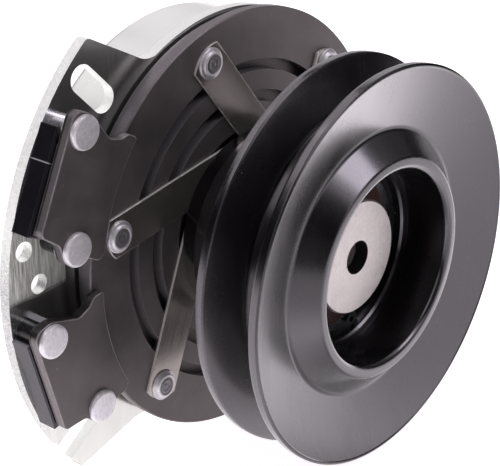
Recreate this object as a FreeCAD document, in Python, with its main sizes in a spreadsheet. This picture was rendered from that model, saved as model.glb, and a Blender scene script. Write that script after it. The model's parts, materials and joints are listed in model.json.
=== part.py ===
import FreeCAD, Part
import math
import os
import Sketcher
from FreeCAD import Placement, Rotation, Vector

# Electromagnetic clutch with a belt pulley, for a vertical or horizontal engine crankshaft.
# +Y is the clutch axis and points to the engine side, the rear; the pulley and the crank bolt
# face -Y, the front; +Z is up. The origin is on the axis at the rear end face of the keyed hub.
# A "station" is the distance ahead of that face, so a point at station 10 has y = -10.
# Angles round the axis ("turns") run from +X towards +Z as seen from the pulley side.

os.makedirs("parts", exist_ok=True)
doc = FreeCAD.newDocument("clutch")

# ---------------------------------------------------------------- driving dimensions
# Endings: _r radius, _st station, _t thickness, _w width, _len length, _turn angle in degrees.
# _u and _v are radial and tangential places in a frame turned about the axis.
# fb is the field bearing, pb the pulley bearing, phub the pulley hub.
DIMENSIONS = dict(
    # keyed hub and its seats
    bore_r=12.7, bore_len=60.0, key_w=6.35, key_low=5.0, key_top=15.6, key_len=52.0,
    bolt_r=5.75, bolt_play=0.5, hub_rear_r=17.5, hub_shoulder_r=20.0, hub_mid_r=17.0,
    hub_nose_r=15.0, hub_shoulder_st=18.5, hub_step_st=56.1, hub_nose_st=83.6,
    hub_chamfer=0.6,
    # clamp collar with two flats at its rear end
    collar_r=19.7, collar_front_st=88.8, collar_wall_st=83.7, collar_turn=162.2,
    collar_play=0.05, collar_chamfer=0.5,
    collar_flat=17.1, collar_flat_len=1.6, flat_cut_x=24.0, flat_cut_half=16.0,
    # rotor (friction disc with two skirts)
    rotor_front_st=35.4, rotor_t=3.5, rotor_r=72.5, rotor_boss_r=27.0, rotor_boss_st=24.0,
    skirt_st=14.0, skirt_in_r1=35.2, skirt_in_r2=38.0, skirt_out_r1=62.5, skirt_out_r2=66.2,
    rotor_slot_r1=49.0, rotor_slot_r2=51.6, rotor_slot_half_turn=24.0,
    # armature: slot ring a is the outer one, b the inner one
    arm_front_st=39.8, arm_t=4.0, arm_r=75.0, arm_hole_r=34.0, arm_chamfer=0.4,
    arm_slot_a1=53.4, arm_slot_a2=57.5, arm_slot_b1=42.2, arm_slot_b2=46.6,
    arm_web_a=-4.0, arm_web_b=-11.5, arm_web_deg=8.0,
    arm_rivet_r=64.2, arm_rivet_turn=46.5, arm_rivet_head_r=5.4, arm_rivet_top_st=42.5,
    arm_rivet_shank_r=3.1, arm_rivet_inset=0.2, arm_rivet_round=0.6, rivet_play=0.05,
    # leaf straps and their inner rivets
    strap_t=1.0, strap_w=14.0, strap_off=24.5, strap_out=62.0, strap_out_tip=64.4,
    strap_in=0.1, strap_in_tip=2.6, strap_lead=202.4, strap_rivet_in=2.4,
    in_rivet_head_r=4.2, in_rivet_shank_r=2.4, in_rivet_rear_t=1.6, in_rivet_front_t=2.0,
    # belt pulley flanges and groove
    sheet_t=3.0, pul_r=67.8, root_r=53.0, crest_st=102.7, open_r=33.2,
    collar_out_r=36.2, collar_end_st=85.0, root_rear_st=85.2, rear_rim_st=77.6,
    root_ring_t=2.8,
    # pulley hub
    phub_rear_r=33.0, phub_flange_t=3.6, phub_in_r=19.4, phub_cup_r=29.2,
    phub_cone_rear_st=46.4, phub_cone_front_st=48.6, phub_mouth_r=31.6, phub_mouth_st=84.2,
    # pulley bearing 30 x 62 x 23.8, two rows
    pb_front_st=79.9, pb_w=23.8, pb_bore_r=15.0, pb_in_r=19.2, pb_out_r1=27.2,
    brg_out_r=31.0, pb_pitch_r=23.1, pb_ball_r=4.55, pb_row=5.3,
    pb_cage_half_t=1.2, pb_cage_half_w=10.2,
    # field bearing 35 x 62 x 14, one row
    fb_front_st=18.4, fb_w=14.0, fb_bore_r=17.5, fb_in_r=21.7, fb_pitch_r=24.5,
    fb_ball_r=3.95, fb_cage_half_t=1.1, fb_cage_half_w=4.9,
    # both bearings
    race_play=0.05, cage_play=0.15, seal_t=1.2, seal_gap=0.25, seal_inset=0.3,
    # snap rings
    ring_t=1.8, ring_groove_r=32.6, ring_in_r=28.4, ring_play=0.1, ring_lift=0.05,
    gap_x1=24.0, gap_x2=36.0, gap_half=6.5,
    lug_x=28.2, lug_z=8.6, lug_r=2.9, lug_hole_x=28.0, lug_hole_r=1.25,
    # field shell
    plate_front_st=30.9, plate_t=4.05, plate_r=74.0, tab_r=101.0, tab_root_r=73.2,
    cup_r=70.3, cup_wall=3.5, cup_rear_st=3.2, cup_hole_r=39.0, cup_round=2.4,
    cup_fillet=3.0, mouth_round=1.0, slot_w=9.4, slot_turn=135.0, slot_r1=76.8,
    slot_r2=98.2, notch_turn=216.3, notch_r1=80.0, notch_r2=106.0, clip_hole_r=3.3,
    # bearing housing, which is also the inner pole of the field
    house_r=34.8, house_front_st=30.0, house_flange_r=41.5, house_flange_t=3.0,
    house_lip=2.0, house_proud=1.2,
    # coil
    bob_in_r=39.2, bob_out_r=61.4, bob_front_st=29.4, bob_rear_st=10.0, bob_wall=1.4,
    wrap_t=0.9, pot_ledge=0.4, pot_rise=1.6,
    # permanent brake: pole plates, magnets, rivets
    pole_back_st=39.9, pole_front_st=43.2, pole_turn_a=155.4, pole_turn_b=195.6,
    pole_arc_r=72.4, pole_roll=0.5, mag_front_st=38.4, mag_u1=86.6, mag_u2=100.0,
    mag_half=17.2, mag_edge=0.5, rivet_a_u=94.0, rivet_a_v=-17.7, rivet_b_u=83.7,
    rivet_b_v=17.8, pole_rivet_head_r=5.6, pole_rivet_top_st=44.9, pole_rivet_shank_r=2.6,
    pole_rivet_tail_st=25.2, pole_rivet_tail_r=3.4, pole_rivet_round=0.7,
    sleeve_r=3.7, sleeve_st=38.5, sleeve_play=0.2, shim_r=4.8,
    # connector socket, blades, grommet and leads
    con_r1=70.9, con_r2=86.0, con_half=12.0, con_st1=4.6, con_st2=18.6, con_wall=1.8,
    con_round=2.0, con_floor=4.0, blade_z=5.0, blade_half_w=3.2, blade_half_t=0.4,
    blade_len=12.5, catch_back=6.0, catch_proud=1.4, catch_sunk=0.6, catch_half=3.0,
    catch_len=2.6, lead_st=8.6, lead_r=1.1, lead_gap=4.0, lead_start_x=58.0, lead_play=0.05,
    outlet_lead=0.6, outlet_r=5.2, grommet_r=5.1,
)
sheet = doc.addObject("Spreadsheet::Sheet", "dim")
for row, (alias, number) in enumerate(DIMENSIONS.items(), start=1):
    sheet.set("A%d" % row, alias)
    sheet.set("B%d" % row, str(number))
    sheet.setAlias("B%d" % row, alias)
doc.recompute()


class Length:
    """A number that carries both its value and the sheet expression it comes from."""

    def __init__(self, value, text):
        self.value, self.text = float(value), text

    def __add__(self, other):
        other = as_length(other)
        return Length(self.value + other.value, "(%s + %s)" % (self.text, other.text))

    def __sub__(self, other):
        other = as_length(other)
        return Length(self.value - other.value, "(%s - %s)" % (self.text, other.text))

    def __mul__(self, other):
        other = as_length(other)
        return Length(self.value * other.value, "(%s * %s)" % (self.text, other.text))

    def __neg__(self):
        return self * -1.0


def as_length(x):
    return x if isinstance(x, Length) else Length(x, repr(float(x)))


class Dimensions:
    """Gives each driving dimension as a Length, written the way the sheet's expressions are."""

    def __getattr__(self, alias):
        return Length(DIMENSIONS[alias], "dim." + alias)


dim = Dimensions()


# ---------------------------------------------------------------- points and outlines
def turned_xy(u, v, turn):
    """The point u out along a radius and v across it, after turning by an angle in degrees."""
    u, v = as_length(u).value, as_length(v).value
    angle = math.radians(as_length(turn).value)
    cosine, sine = math.cos(angle), math.sin(angle)
    return u * cosine - v * sine, u * sine + v * cosine


def polar_xy(radius, turn):
    return turned_xy(radius, 0.0, turn)


def via(x, y):
    """An outline row that bends the side from the row before to the row after into an arc."""
    return x, y, "via"


def outline_pieces(rows):
    """The sides of a closed outline as (start, middle or None, end), from corners and vias."""
    corners, middles = [], {}
    for x, y, *marker in rows:
        point = Vector(as_length(x).value, as_length(y).value, 0)
        if marker:
            middles[len(corners) - 1] = point
        else:
            corners.append(point)
    ends = corners[1:] + corners[:1]
    return [(start, middles.get(k), end) for k, (start, end) in enumerate(zip(corners, ends))]


def rounded_pieces(corners):
    """The pieces of a closed outline through corners (x, y, corner radius)."""
    count = len(corners)
    bends = []
    for i in range(count):
        x, y, radius = corners[i]
        corner = Vector(x, y, 0)
        to_last = Vector(*corners[i - 1][:2], 0) - corner
        to_next = Vector(*corners[(i + 1) % count][:2], 0) - corner
        last_len, next_len = to_last.Length, to_next.Length
        to_last.normalize()
        to_next.normalize()
        half = math.acos(max(-1.0, min(1.0, to_last.dot(to_next)))) / 2.0
        if radius <= 0 or half > math.radians(88.5):
            bends.append((corner, None, corner))
            continue
        # a bend takes no more than 0.48 of either side
        setback = min(radius / math.tan(half), 0.48 * last_len, 0.48 * next_len)
        radius = setback * math.tan(half)
        inward = (to_last + to_next).normalize()
        middle = corner + inward * (radius / math.sin(half)) - inward * radius
        bends.append((corner + to_last * setback, middle, corner + to_next * setback))
    pieces = []
    for i, (start, middle, end) in enumerate(bends):
        if middle is not None:
            pieces.append((start, middle, end))
        next_start = bends[(i + 1) % count][0]
        if (next_start - end).Length > 1e-6:
            pieces.append((end, None, next_start))
    return pieces


def arc_slot(radius_1, radius_2, turn_1, turn_2):
    """Outline rows of a banana slot between two radii and two turns, with rounded ends."""
    radius_1, radius_2 = as_length(radius_1).value, as_length(radius_2).value
    turn_1, turn_2 = as_length(turn_1).value, as_length(turn_2).value
    mid_radius, mid_turn = (radius_1 + radius_2) / 2.0, (turn_1 + turn_2) / 2.0
    cap = math.degrees((radius_2 - radius_1) / 2.0 / mid_radius)
    return [
        polar_xy(radius_1, turn_1), via(*polar_xy(radius_1, mid_turn)),
        polar_xy(radius_1, turn_2), via(*polar_xy(mid_radius, turn_2 + cap)),
        polar_xy(radius_2, turn_2), via(*polar_xy(radius_2, mid_turn)),
        polar_xy(radius_2, turn_1), via(*polar_xy(mid_radius, turn_1 - cap)),
    ]


# ---------------------------------------------------------------- sketches
PIECES = []


def new_body(label):
    body = doc.addObject("PartDesign::Body", label)
    body.Label = label
    PIECES.append(body)
    return body


def origin_feature(body, role):
    return next(f for f in body.Origin.OriginFeatures if f.Role == role)


def sketch_on(body, name, plane, offset=None):
    """A sketch on one of the body's own planes, or at an offset along the plane's normal."""
    sketch = body.newObject("Sketcher::SketchObject", name)
    sketch.AttachmentSupport = [(origin_feature(body, plane), "")]
    sketch.MapMode = "FlatFace"
    if offset is not None:
        offset = as_length(offset)
        sketch.AttachmentOffset = Placement(Vector(0, 0, offset.value), Rotation())
        sketch.setExpression("AttachmentOffset.Base.z", offset.text)
    return sketch


def cross_sketch(body, name, station):
    """A sketch square to the axis. Its coordinates are x and z, and its normal is -Y."""
    return sketch_on(body, name, "XZ_Plane", station)


def side_sketch(body, name, x=None):
    """A sketch square to X. Its coordinates are y (minus the station) and z."""
    return sketch_on(body, name, "YZ_Plane", x)


def hold_point(sketch, geometry, point, x, y):
    """Ties the two coordinates of a sketch point to the sheet, from the sketch origin."""
    for kind, axis, coordinate in (("DistanceX", -2, x), ("DistanceY", -1, y)):
        coordinate = as_length(coordinate)
        value, text = coordinate.value, coordinate.text
        if abs(value) < 1e-9:
            sketch.addConstraint(Sketcher.Constraint("PointOnObject", geometry, point, axis))
            continue
        if value < 0:
            constraint = Sketcher.Constraint(kind, geometry, point, -1, 1, -value)
            text = "0 - " + text
        else:
            constraint = Sketcher.Constraint(kind, -1, 1, geometry, point, value)
        index = sketch.addConstraint(constraint)
        sketch.setExpression("Constraints[%d]" % index, text)


def add_pieces(sketch, pieces):
    """Draws the lines and three-point arcs of a closed outline, joined end to end.
    Returns for each piece its geometry index and the numbers of its start and end points."""
    placed = []
    for start, middle, end in pieces:
        ends = (1, 2)
        if middle is None:
            geometry = sketch.addGeometry(Part.LineSegment(start, end), False)
        else:
            arc = Part.Arc(start, middle, end)
            geometry = sketch.addGeometry(
                Part.ArcOfCircle(arc.toShape().Curve, arc.FirstParameter, arc.LastParameter),
                False)
            first = sketch.getPoint(geometry, 1)
            if (first - start).Length > (first - end).Length:
                ends = (2, 1)
        placed.append((geometry, ends))
    for (geometry, ends), (_, _, end) in zip(placed, pieces):
        following = next(k for k, piece in enumerate(pieces) if (piece[0] - end).Length < 1e-6)
        next_geometry, next_ends = placed[following]
        sketch.addConstraint(Sketcher.Constraint(
            "Coincident", geometry, ends[1], next_geometry, next_ends[0]))
    return placed


def closed_profile(sketch, rows):
    """A closed outline whose corners are tied to the sheet and whose arcs keep their radius."""
    placed = add_pieces(sketch, outline_pieces(rows))
    for geometry, _ in placed:
        if isinstance(sketch.Geometry[geometry], Part.ArcOfCircle):
            radius = sketch.Geometry[geometry].Radius
            sketch.addConstraint(Sketcher.Constraint("Radius", geometry, radius))
    corners = [(x, y) for x, y, *marker in rows if not marker]
    for (geometry, ends), (x, y) in zip(placed, corners):
        hold_point(sketch, geometry, ends[0], x, y)


def rectangle(sketch, x1, y1, x2, y2):
    closed_profile(sketch, [(x1, y1), (x2, y1), (x2, y2), (x1, y2)])


def circle(sketch, x, y, radius):
    x, y, radius = as_length(x), as_length(y), as_length(radius)
    geometry = sketch.addGeometry(
        Part.Circle(Vector(x.value, y.value, 0), Vector(0, 0, 1), radius.value), False)
    index = sketch.addConstraint(Sketcher.Constraint("Radius", geometry, radius.value))
    sketch.setExpression("Constraints[%d]" % index, radius.text)
    hold_point(sketch, geometry, 3, x, y)


# ---------------------------------------------------------------- features
def add_feature(body, kind, name, **properties):
    """Adds a feature as the body's tip. A property given as a Length is bound to the sheet."""
    feature = body.newObject("PartDesign::" + kind, name)
    for key, value in properties.items():
        if isinstance(value, Length):
            setattr(feature, key, value.value)
            feature.setExpression(key, value.text)
        else:
            setattr(feature, key, value)
    if "Profile" in properties:
        properties["Profile"].Visibility = False
    body.Tip = feature
    doc.recompute()
    if feature.Shape.isNull():
        raise RuntimeError(name + " has no shape")
    return feature


def add_cut(body, kind, name, **properties):
    """Adds a feature that must remove material."""
    volume = body.Shape.Volume
    feature = add_feature(body, kind, name, **properties)
    if feature.Shape.Volume > volume - 1e-3:
        raise RuntimeError(name + " cuts nothing")
    return feature


def pad(body, sketch, length, name):
    return add_feature(body, "Pad", name, Profile=sketch, Length=as_length(length))


def pocket(body, sketch, length, name, along_normal=True):
    """A pocket along the sketch's normal: to the front from a cross sketch, to +X from a side
    sketch. It goes the other way without along_normal."""
    return add_cut(body, "Pocket", name, Profile=sketch, Length=as_length(length),
                   Reversed=along_normal)


def through_cut(body, name, rear, thickness, holes=(), outlines=()):
    """Cuts round holes (x, z, radius) and outlines through a plate, 1 mm clear of both faces."""
    sketch = cross_sketch(body, name, rear - 1.0)
    for hole in holes:
        circle(sketch, *hole)
    for rows in outlines:
        add_pieces(sketch, outline_pieces(rows))
    return pocket(body, sketch, thickness + 2.0, name + "_cut")


def polar_cuts(body, feature, count, name):
    """Repeats a cut evenly round the clutch axis."""
    add_cut(body, "PolarPattern", name, Originals=[feature],
            Axis=(origin_feature(body, "Y_Axis"), [""]), Angle=360.0, Occurrences=count)


def turned(label, rows):
    """A ring: a closed profile of (radius, station) rows revolved about the clutch axis."""
    body = new_body(label)
    sketch = sketch_on(body, "profile", "XY_Plane")
    closed_profile(sketch, [(radius, -as_length(station), *marker)
                            for radius, station, *marker in rows])
    add_feature(body, "Revolution", "profile_turned", Profile=sketch,
                ReferenceAxis=(sketch, ["V_Axis"]), Angle=360.0)
    return body


def plain_ring(label, inner_r, outer_r, front, rear):
    """A ring of rectangular section."""
    return turned(label, [(inner_r, front), (outer_r, front), (outer_r, rear), (inner_r, rear)])


def edges_where(body, test):
    return ["Edge%d" % i for i, edge in enumerate(body.Shape.Edges, start=1) if test(edge)]


def circle_edges(body, radius, *stations):
    """Circular edges of a given radius that lie at the given stations."""
    radius = as_length(radius).value
    stations = [as_length(station).value for station in stations]
    return edges_where(body, lambda edge: isinstance(edge.Curve, Part.Circle)
                       and abs(edge.Curve.Radius - radius) < 0.02
                       and any(abs(edge.Curve.Center.y + st) < 0.02 for st in stations))


def dress_edges(body, kind, size_name, edges, size, name):
    if not edges:
        raise RuntimeError("no edges for " + name)
    feature = add_feature(body, kind, name, Base=(body.Tip, edges), **{size_name: size})
    if not feature.Shape.isValid():
        raise RuntimeError(name + " failed")


def round_edges(body, edges, radius, name):
    dress_edges(body, "Fillet", "Radius", edges, radius, name)


def chamfer_edges(body, edges, size, name):
    dress_edges(body, "Chamfer", "Size", edges, size, name)


def at_angle(body, turn):
    """Turns a body about the clutch axis."""
    turn = as_length(turn)
    body.Placement = Placement(Vector(0, 0, 0), Rotation(Vector(0, -1, 0), turn.value))
    body.setExpression("Placement.Rotation.Angle", turn.text)


def discs(label, places, stages):
    """A group of round pieces, each a stack of (radius, bore radius or None, rear, front)."""
    body = new_body(label)
    for k, (radius, bore_radius, rear, front) in enumerate(stages):
        sketch = cross_sketch(body, "stage%d" % k, rear)
        for place in places:
            circle(sketch, *place, radius)
            if bore_radius is not None:
                circle(sketch, *place, bore_radius)
        pad(body, sketch, front - rear, "stage%d_pad" % k)
    return body


# ================================================================ shared places
plate_rear = dim.plate_front_st - dim.plate_t
cup_floor = dim.cup_rear_st + dim.cup_wall
cup_in_r = dim.cup_r - dim.cup_wall
rotor_rear = dim.rotor_front_st - dim.rotor_t
arm_rear = dim.arm_front_st - dim.arm_t
strap_front = dim.arm_front_st + dim.strap_t
phub_flange_front = strap_front + dim.phub_flange_t
fb_rear = dim.fb_front_st - dim.fb_w
fb_mid = dim.fb_front_st - dim.fb_w * 0.5
pb_rear = dim.pb_front_st - dim.pb_w
pb_mid = dim.pb_front_st - dim.pb_w * 0.5

# the two rivets of each brake pole
POLE_RIVET_UV = [(dim.rivet_a_u, dim.rivet_a_v), (dim.rivet_b_u, dim.rivet_b_v)]
POLE_RIVETS = [turned_xy(u, v, turn) for turn in (dim.pole_turn_a, dim.pole_turn_b)
               for u, v in POLE_RIVET_UV]
pole_rivet_hole_r = dim.pole_rivet_shank_r + dim.rivet_play

# the six outer and six inner rivets of the leaf straps
ARM_RIVETS = [polar_xy(dim.arm_rivet_r, dim.arm_rivet_turn + 60.0 * k) for k in range(6)]
strap_turn = dim.arm_rivet_turn + dim.strap_lead
INNER_RIVETS = [turned_xy(-dim.strap_rivet_in, dim.strap_off, strap_turn + 60.0 * k)
                for k in range(6)]
arm_rivet_hole_r = dim.arm_rivet_shank_r + dim.rivet_play
inner_rivet_hole_r = dim.in_rivet_shank_r + dim.rivet_play


# ================================================================ FIELD (held still)
# ---- field shell: one drawn steel stamping, a flat mounting plate with a cup behind it
# Tab on the -X side of the plate: x, z. Its arc along the plate lies inside the plate's rim.
TAB_OUTLINE = [
    (-33.4, 66.0), via(-37.4, 65.75),
    (-41.6, 67.3),
    (-61.6, 77.8), via(-62.9, 78.2),
    (-64.2, 77.9), via(*polar_xy(dim.tab_r, 175.5)),
    (-75.2, -67.4), via(-74.6, -68.4),
    (-73.2, -68.3),
    (-52.0, -62.4), via(-45.5, -61.2),
    (-39.3, -62.5), via(*polar_xy(dim.tab_root_r, 178.0)),
]
CLIP_HOLES = [(-93.7, 17.7), (-88.4, 4.9)]   # x, z


def radial_slot(turn, inner_r, outer_r):
    """Outline rows of a slot along a radius, with round ends."""
    half = dim.slot_w * 0.5
    return [
        turned_xy(outer_r - half, half, turn),
        turned_xy(inner_r + half, half, turn), via(*polar_xy(inner_r, turn)),
        turned_xy(inner_r + half, -half, turn),
        turned_xy(outer_r - half, -half, turn), via(*polar_xy(outer_r, turn)),
    ]


def field_shell():
    shell = turned("field_shell", [
        (cup_in_r, dim.plate_front_st),
        (dim.plate_r, dim.plate_front_st),
        (dim.plate_r, plate_rear),
        (dim.cup_r, plate_rear),
        (dim.cup_r, dim.cup_rear_st),
        (dim.cup_hole_r, dim.cup_rear_st),
        (dim.cup_hole_r, cup_floor),
        (cup_in_r, cup_floor),
    ])
    sketch = cross_sketch(shell, "tab_outline", plate_rear)
    add_pieces(sketch, outline_pieces(TAB_OUTLINE))
    pad(shell, sketch, dim.plate_t, "tab")

    round_edges(shell, circle_edges(shell, dim.cup_r, dim.cup_rear_st),
                dim.cup_round, "rear_round")
    round_edges(shell, circle_edges(shell, cup_in_r, dim.plate_front_st),
                dim.mouth_round, "mouth_round")
    round_edges(shell, circle_edges(shell, dim.cup_r, plate_rear),
                dim.cup_fillet, "draw_fillet")

    # a closed torque slot and a torque notch that is open at the tab's edge
    for name, turn, inner_r, outer_r in (
            ("torque_slot", dim.slot_turn, dim.slot_r1, dim.slot_r2),
            ("torque_notch", dim.notch_turn, dim.notch_r1, dim.notch_r2)):
        through_cut(shell, name, plate_rear, dim.plate_t,
                    outlines=[radial_slot(turn, inner_r, outer_r)])
    through_cut(shell, "clip_holes", plate_rear, dim.plate_t,
                holes=[(*place, dim.clip_hole_r) for place in CLIP_HOLES])
    through_cut(shell, "rivet_holes", plate_rear, dim.plate_t,
                holes=[(*place, pole_rivet_hole_r) for place in POLE_RIVETS])

    # lead outlet through the cup wall on the +X side
    sketch = side_sketch(shell, "lead_outlet")
    circle(sketch, -(dim.lead_st + dim.outlet_lead), 0.0, dim.outlet_r)
    pocket(shell, sketch, 90.0, "lead_outlet_cut")


field_shell()

# ---- bearing housing: the tube inside the coil, pressed into the shell's rear wall
turned("bearing_housing", [
    (dim.brg_out_r, dim.fb_front_st),
    (dim.brg_out_r - dim.house_lip, dim.fb_front_st),
    (dim.brg_out_r - dim.house_lip, dim.house_front_st),
    (dim.house_r, dim.house_front_st),
    (dim.house_r, cup_floor + dim.house_flange_t),
    (dim.house_flange_r, cup_floor + dim.house_flange_t),
    (dim.house_flange_r, cup_floor),
    (dim.cup_hole_r, cup_floor),
    (dim.cup_hole_r, dim.cup_rear_st - dim.house_proud),
    (dim.brg_out_r, dim.cup_rear_st - dim.house_proud),
    (dim.brg_out_r, fb_rear - dim.ring_t),    # snap ring groove
    (dim.ring_groove_r, fb_rear - dim.ring_t),
    (dim.ring_groove_r, fb_rear),
    (dim.brg_out_r, fb_rear),
])

# ---- coil: a moulded bobbin, its winding, an outer wrap and the potting behind it
bob_core_r = dim.bob_in_r + dim.bob_wall
winding_front = dim.bob_front_st - dim.bob_wall
winding_rear = dim.bob_rear_st + dim.bob_wall
turned("coil_bobbin", [
    (dim.bob_in_r, dim.bob_front_st),
    (dim.bob_out_r, dim.bob_front_st),
    (dim.bob_out_r, winding_front),
    (bob_core_r, winding_front),
    (bob_core_r, winding_rear),
    (dim.bob_out_r, winding_rear),
    (dim.bob_out_r, dim.bob_rear_st),
    (dim.bob_in_r, dim.bob_rear_st),
])
plain_ring("coil_winding", bob_core_r, dim.bob_out_r - dim.wrap_t, winding_front, winding_rear)
plain_ring("coil_wrap", dim.bob_out_r - dim.wrap_t, dim.bob_out_r, winding_front, winding_rear)


def lead_circles(sketch, radius):
    """The two leads, side by side in z, on a side sketch."""
    for side in (0.5, -0.5):
        circle(sketch, -dim.lead_st, dim.lead_gap * side, radius)


potting = turned("coil_potting", [
    (dim.house_flange_r, dim.bob_rear_st),
    (dim.bob_out_r + dim.pot_ledge, dim.bob_rear_st),
    (cup_in_r, dim.bob_rear_st + dim.pot_rise),
    (cup_in_r, cup_floor),
    (dim.house_flange_r, cup_floor),
])
ducts = side_sketch(potting, "lead_ducts")
lead_circles(ducts, dim.lead_r)
pocket(potting, ducts, 90.0, "lead_ducts_cut")

# ---- permanent brake: two pole plates on the tab, each with a magnet, two rivets and shims
# Pole plate corners in the pole's own frame: u, v, corner radius. The outer table runs from
# the +v outer corner to the -v end of the arc round the armature, the inner one from the
# arc's +v end back to the start.
POLE_OUTER = [
    (99.8, 15.9, 2.5), (99.8, -23.7, 5.8), (92.2, -23.7, 4.5), (81.6, -17.5, 3.0),
    (76.6, -18.4, 2.5), (74.0, -20.3, 1.6), (70.7, -20.0, 1.2),
]
POLE_INNER = [
    (71.6, 20.6, 2.6), (77.8, 20.1, 3.6), (81.0, 23.1, 3.2), (86.6, 23.1, 3.6),
    (90.8, 17.8, 3.5),
]
POLE_ARC_V = (-19.2, 17.6)   # v of the two ends of the arc round the armature


def pole_plate(label, turn):
    body = new_body(label)
    sketch = cross_sketch(body, "outline", dim.pole_back_st)
    radius = dim.pole_arc_r.value
    start, end = [(math.sqrt(radius * radius - v * v), v) for v in POLE_ARC_V]
    pieces = rounded_pieces(POLE_OUTER + [(*start, 0.0), (*end, 0.0)] + POLE_INNER)
    # the arc round the armature takes the place of the chord between its ends
    start, end = Vector(*start, 0), Vector(*end, 0)
    pieces = [piece for piece in pieces if (piece[0] - start).Length > 1e-6]
    pieces.append((start, Vector(radius, 0, 0), end))
    add_pieces(sketch, pieces)
    thickness = dim.pole_front_st - dim.pole_back_st
    pad(body, sketch, thickness, "plate")
    through_cut(body, "rivet_holes", dim.pole_back_st, thickness,
                holes=[(u, v, pole_rivet_hole_r) for u, v in POLE_RIVET_UV])
    # the front outline, without the full circles of the rivet holes
    front = dim.pole_front_st.value
    rim = edges_where(body, lambda edge: all(abs(v.Point.y + front) < 0.01 for v in edge.Vertexes)
                      and not (isinstance(edge.Curve, Part.Circle) and edge.Curve.Radius < 2.9
                               and len(edge.Vertexes) == 1))
    round_edges(body, rim, dim.pole_roll, "die_roll")
    at_angle(body, turn)


def magnet(label, turn):
    body = new_body(label)
    sketch = cross_sketch(body, "block", dim.plate_front_st)
    rectangle(sketch, dim.mag_u1, -dim.mag_half, dim.mag_u2, dim.mag_half)
    thickness = dim.mag_front_st - dim.plate_front_st
    pad(body, sketch, thickness, "block_pad")
    through_cut(body, "sleeve_clearance", dim.plate_front_st, thickness,
                holes=[(u, v, dim.sleeve_r + dim.sleeve_play) for u, v in POLE_RIVET_UV])
    # the straight front edges
    front = dim.mag_front_st.value
    rim = edges_where(body, lambda edge: isinstance(edge.Curve, Part.Line)
                      and all(abs(v.Point.y + front) < 0.01 for v in edge.Vertexes))
    chamfer_edges(body, rim, dim.mag_edge, "edge_break")
    at_angle(body, turn)


def keeper(label, turn):
    """Thin steel keeper between magnet and pole plate, set in from the magnet's outline,
    with a step that clears the rivet at its inner +v corner."""
    body = new_body(label)
    sketch = cross_sketch(body, "strip", dim.mag_front_st)
    closed_profile(sketch, [
        (dim.mag_u1 + 0.6, -dim.mag_half + 4.9),
        (dim.mag_u2 - 1.6, -dim.mag_half + 4.9),
        (dim.mag_u2 - 1.6, dim.mag_half - 1.0),
        (dim.mag_u1 + 4.8, dim.mag_half - 1.0),
        (dim.mag_u1 + 4.8, dim.mag_half - 6.6),
        (dim.mag_u1 + 0.6, dim.mag_half - 6.6),
    ])
    pad(body, sketch, dim.pole_back_st - dim.mag_front_st, "strip_pad")
    at_angle(body, turn)


for side, turn in (("upper", dim.pole_turn_a), ("lower", dim.pole_turn_b)):
    pole_plate("brake_pole_" + side, turn)
    magnet("brake_magnet_" + side, turn)
    keeper("magnet_keeper_" + side, turn)

discs("spacer_sleeves", POLE_RIVETS,
      [(dim.sleeve_r, pole_rivet_hole_r, dim.plate_front_st, dim.sleeve_st)])
discs("air_gap_shims", POLE_RIVETS,
      [(dim.shim_r, pole_rivet_hole_r, dim.sleeve_st, dim.pole_back_st)])
pole_rivets = discs("pole_rivets", POLE_RIVETS, [
    (dim.pole_rivet_tail_r, None, dim.pole_rivet_tail_st, plate_rear),
    (dim.pole_rivet_shank_r, None, plate_rear, dim.pole_front_st),
    (dim.pole_rivet_head_r, None, dim.pole_front_st, dim.pole_rivet_top_st),
])
round_edges(pole_rivets,
            circle_edges(pole_rivets, dim.pole_rivet_head_r, dim.pole_rivet_top_st),
            dim.pole_rivet_round, "head_round")


# ---- connector on the +X side of the cup; its cavity is open to +X, so the plug goes in radially
def blade_outlines(sketch):
    blade_y = (dim.con_st1 + dim.con_st2) * -0.5
    for z in (-dim.blade_z, dim.blade_z):
        rectangle(sketch, blade_y - dim.blade_half_w, z - dim.blade_half_t,
                  blade_y + dim.blade_half_w, z + dim.blade_half_t)


def connector_socket():
    socket = new_body("connector_socket")
    sketch = side_sketch(socket, "outer", dim.con_r1)
    rectangle(sketch, -dim.con_st2, -dim.con_half, -dim.con_st1, dim.con_half)
    pad(socket, sketch, dim.con_r2 - dim.con_r1, "outer_pad")
    along_x = edges_where(socket, lambda edge: isinstance(edge.Curve, Part.Line)
                          and abs(abs(edge.Curve.Direction.x) - 1) < 1e-6)
    round_edges(socket, along_x, dim.con_round, "corner_round")

    sketch = side_sketch(socket, "cavity", dim.con_r1 + dim.con_floor)
    rectangle(sketch, -dim.con_st2 + dim.con_wall, -dim.con_half + dim.con_wall,
              -dim.con_st1 - dim.con_wall, dim.con_half - dim.con_wall)
    pocket(socket, sketch, 30.0, "cavity_cut")

    sketch = side_sketch(socket, "blade_slots", dim.con_r1 - 1.0)
    blade_outlines(sketch)
    pocket(socket, sketch, 8.0, "blade_slots_cut")

    # snap bump for the plug's catch, on the side towards the pulley
    sketch = side_sketch(socket, "catch", dim.con_r2 - dim.catch_back)
    rectangle(sketch, -dim.con_st2 - dim.catch_proud, -dim.catch_half,
              -dim.con_st2 + dim.catch_sunk, dim.catch_half)
    pad(socket, sketch, dim.catch_len, "catch_pad")


def connector_blades():
    blades = new_body("connector_blades")
    sketch = side_sketch(blades, "blades", dim.con_r1)
    blade_outlines(sketch)
    pad(blades, sketch, dim.blade_len, "blades_pad")


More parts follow.
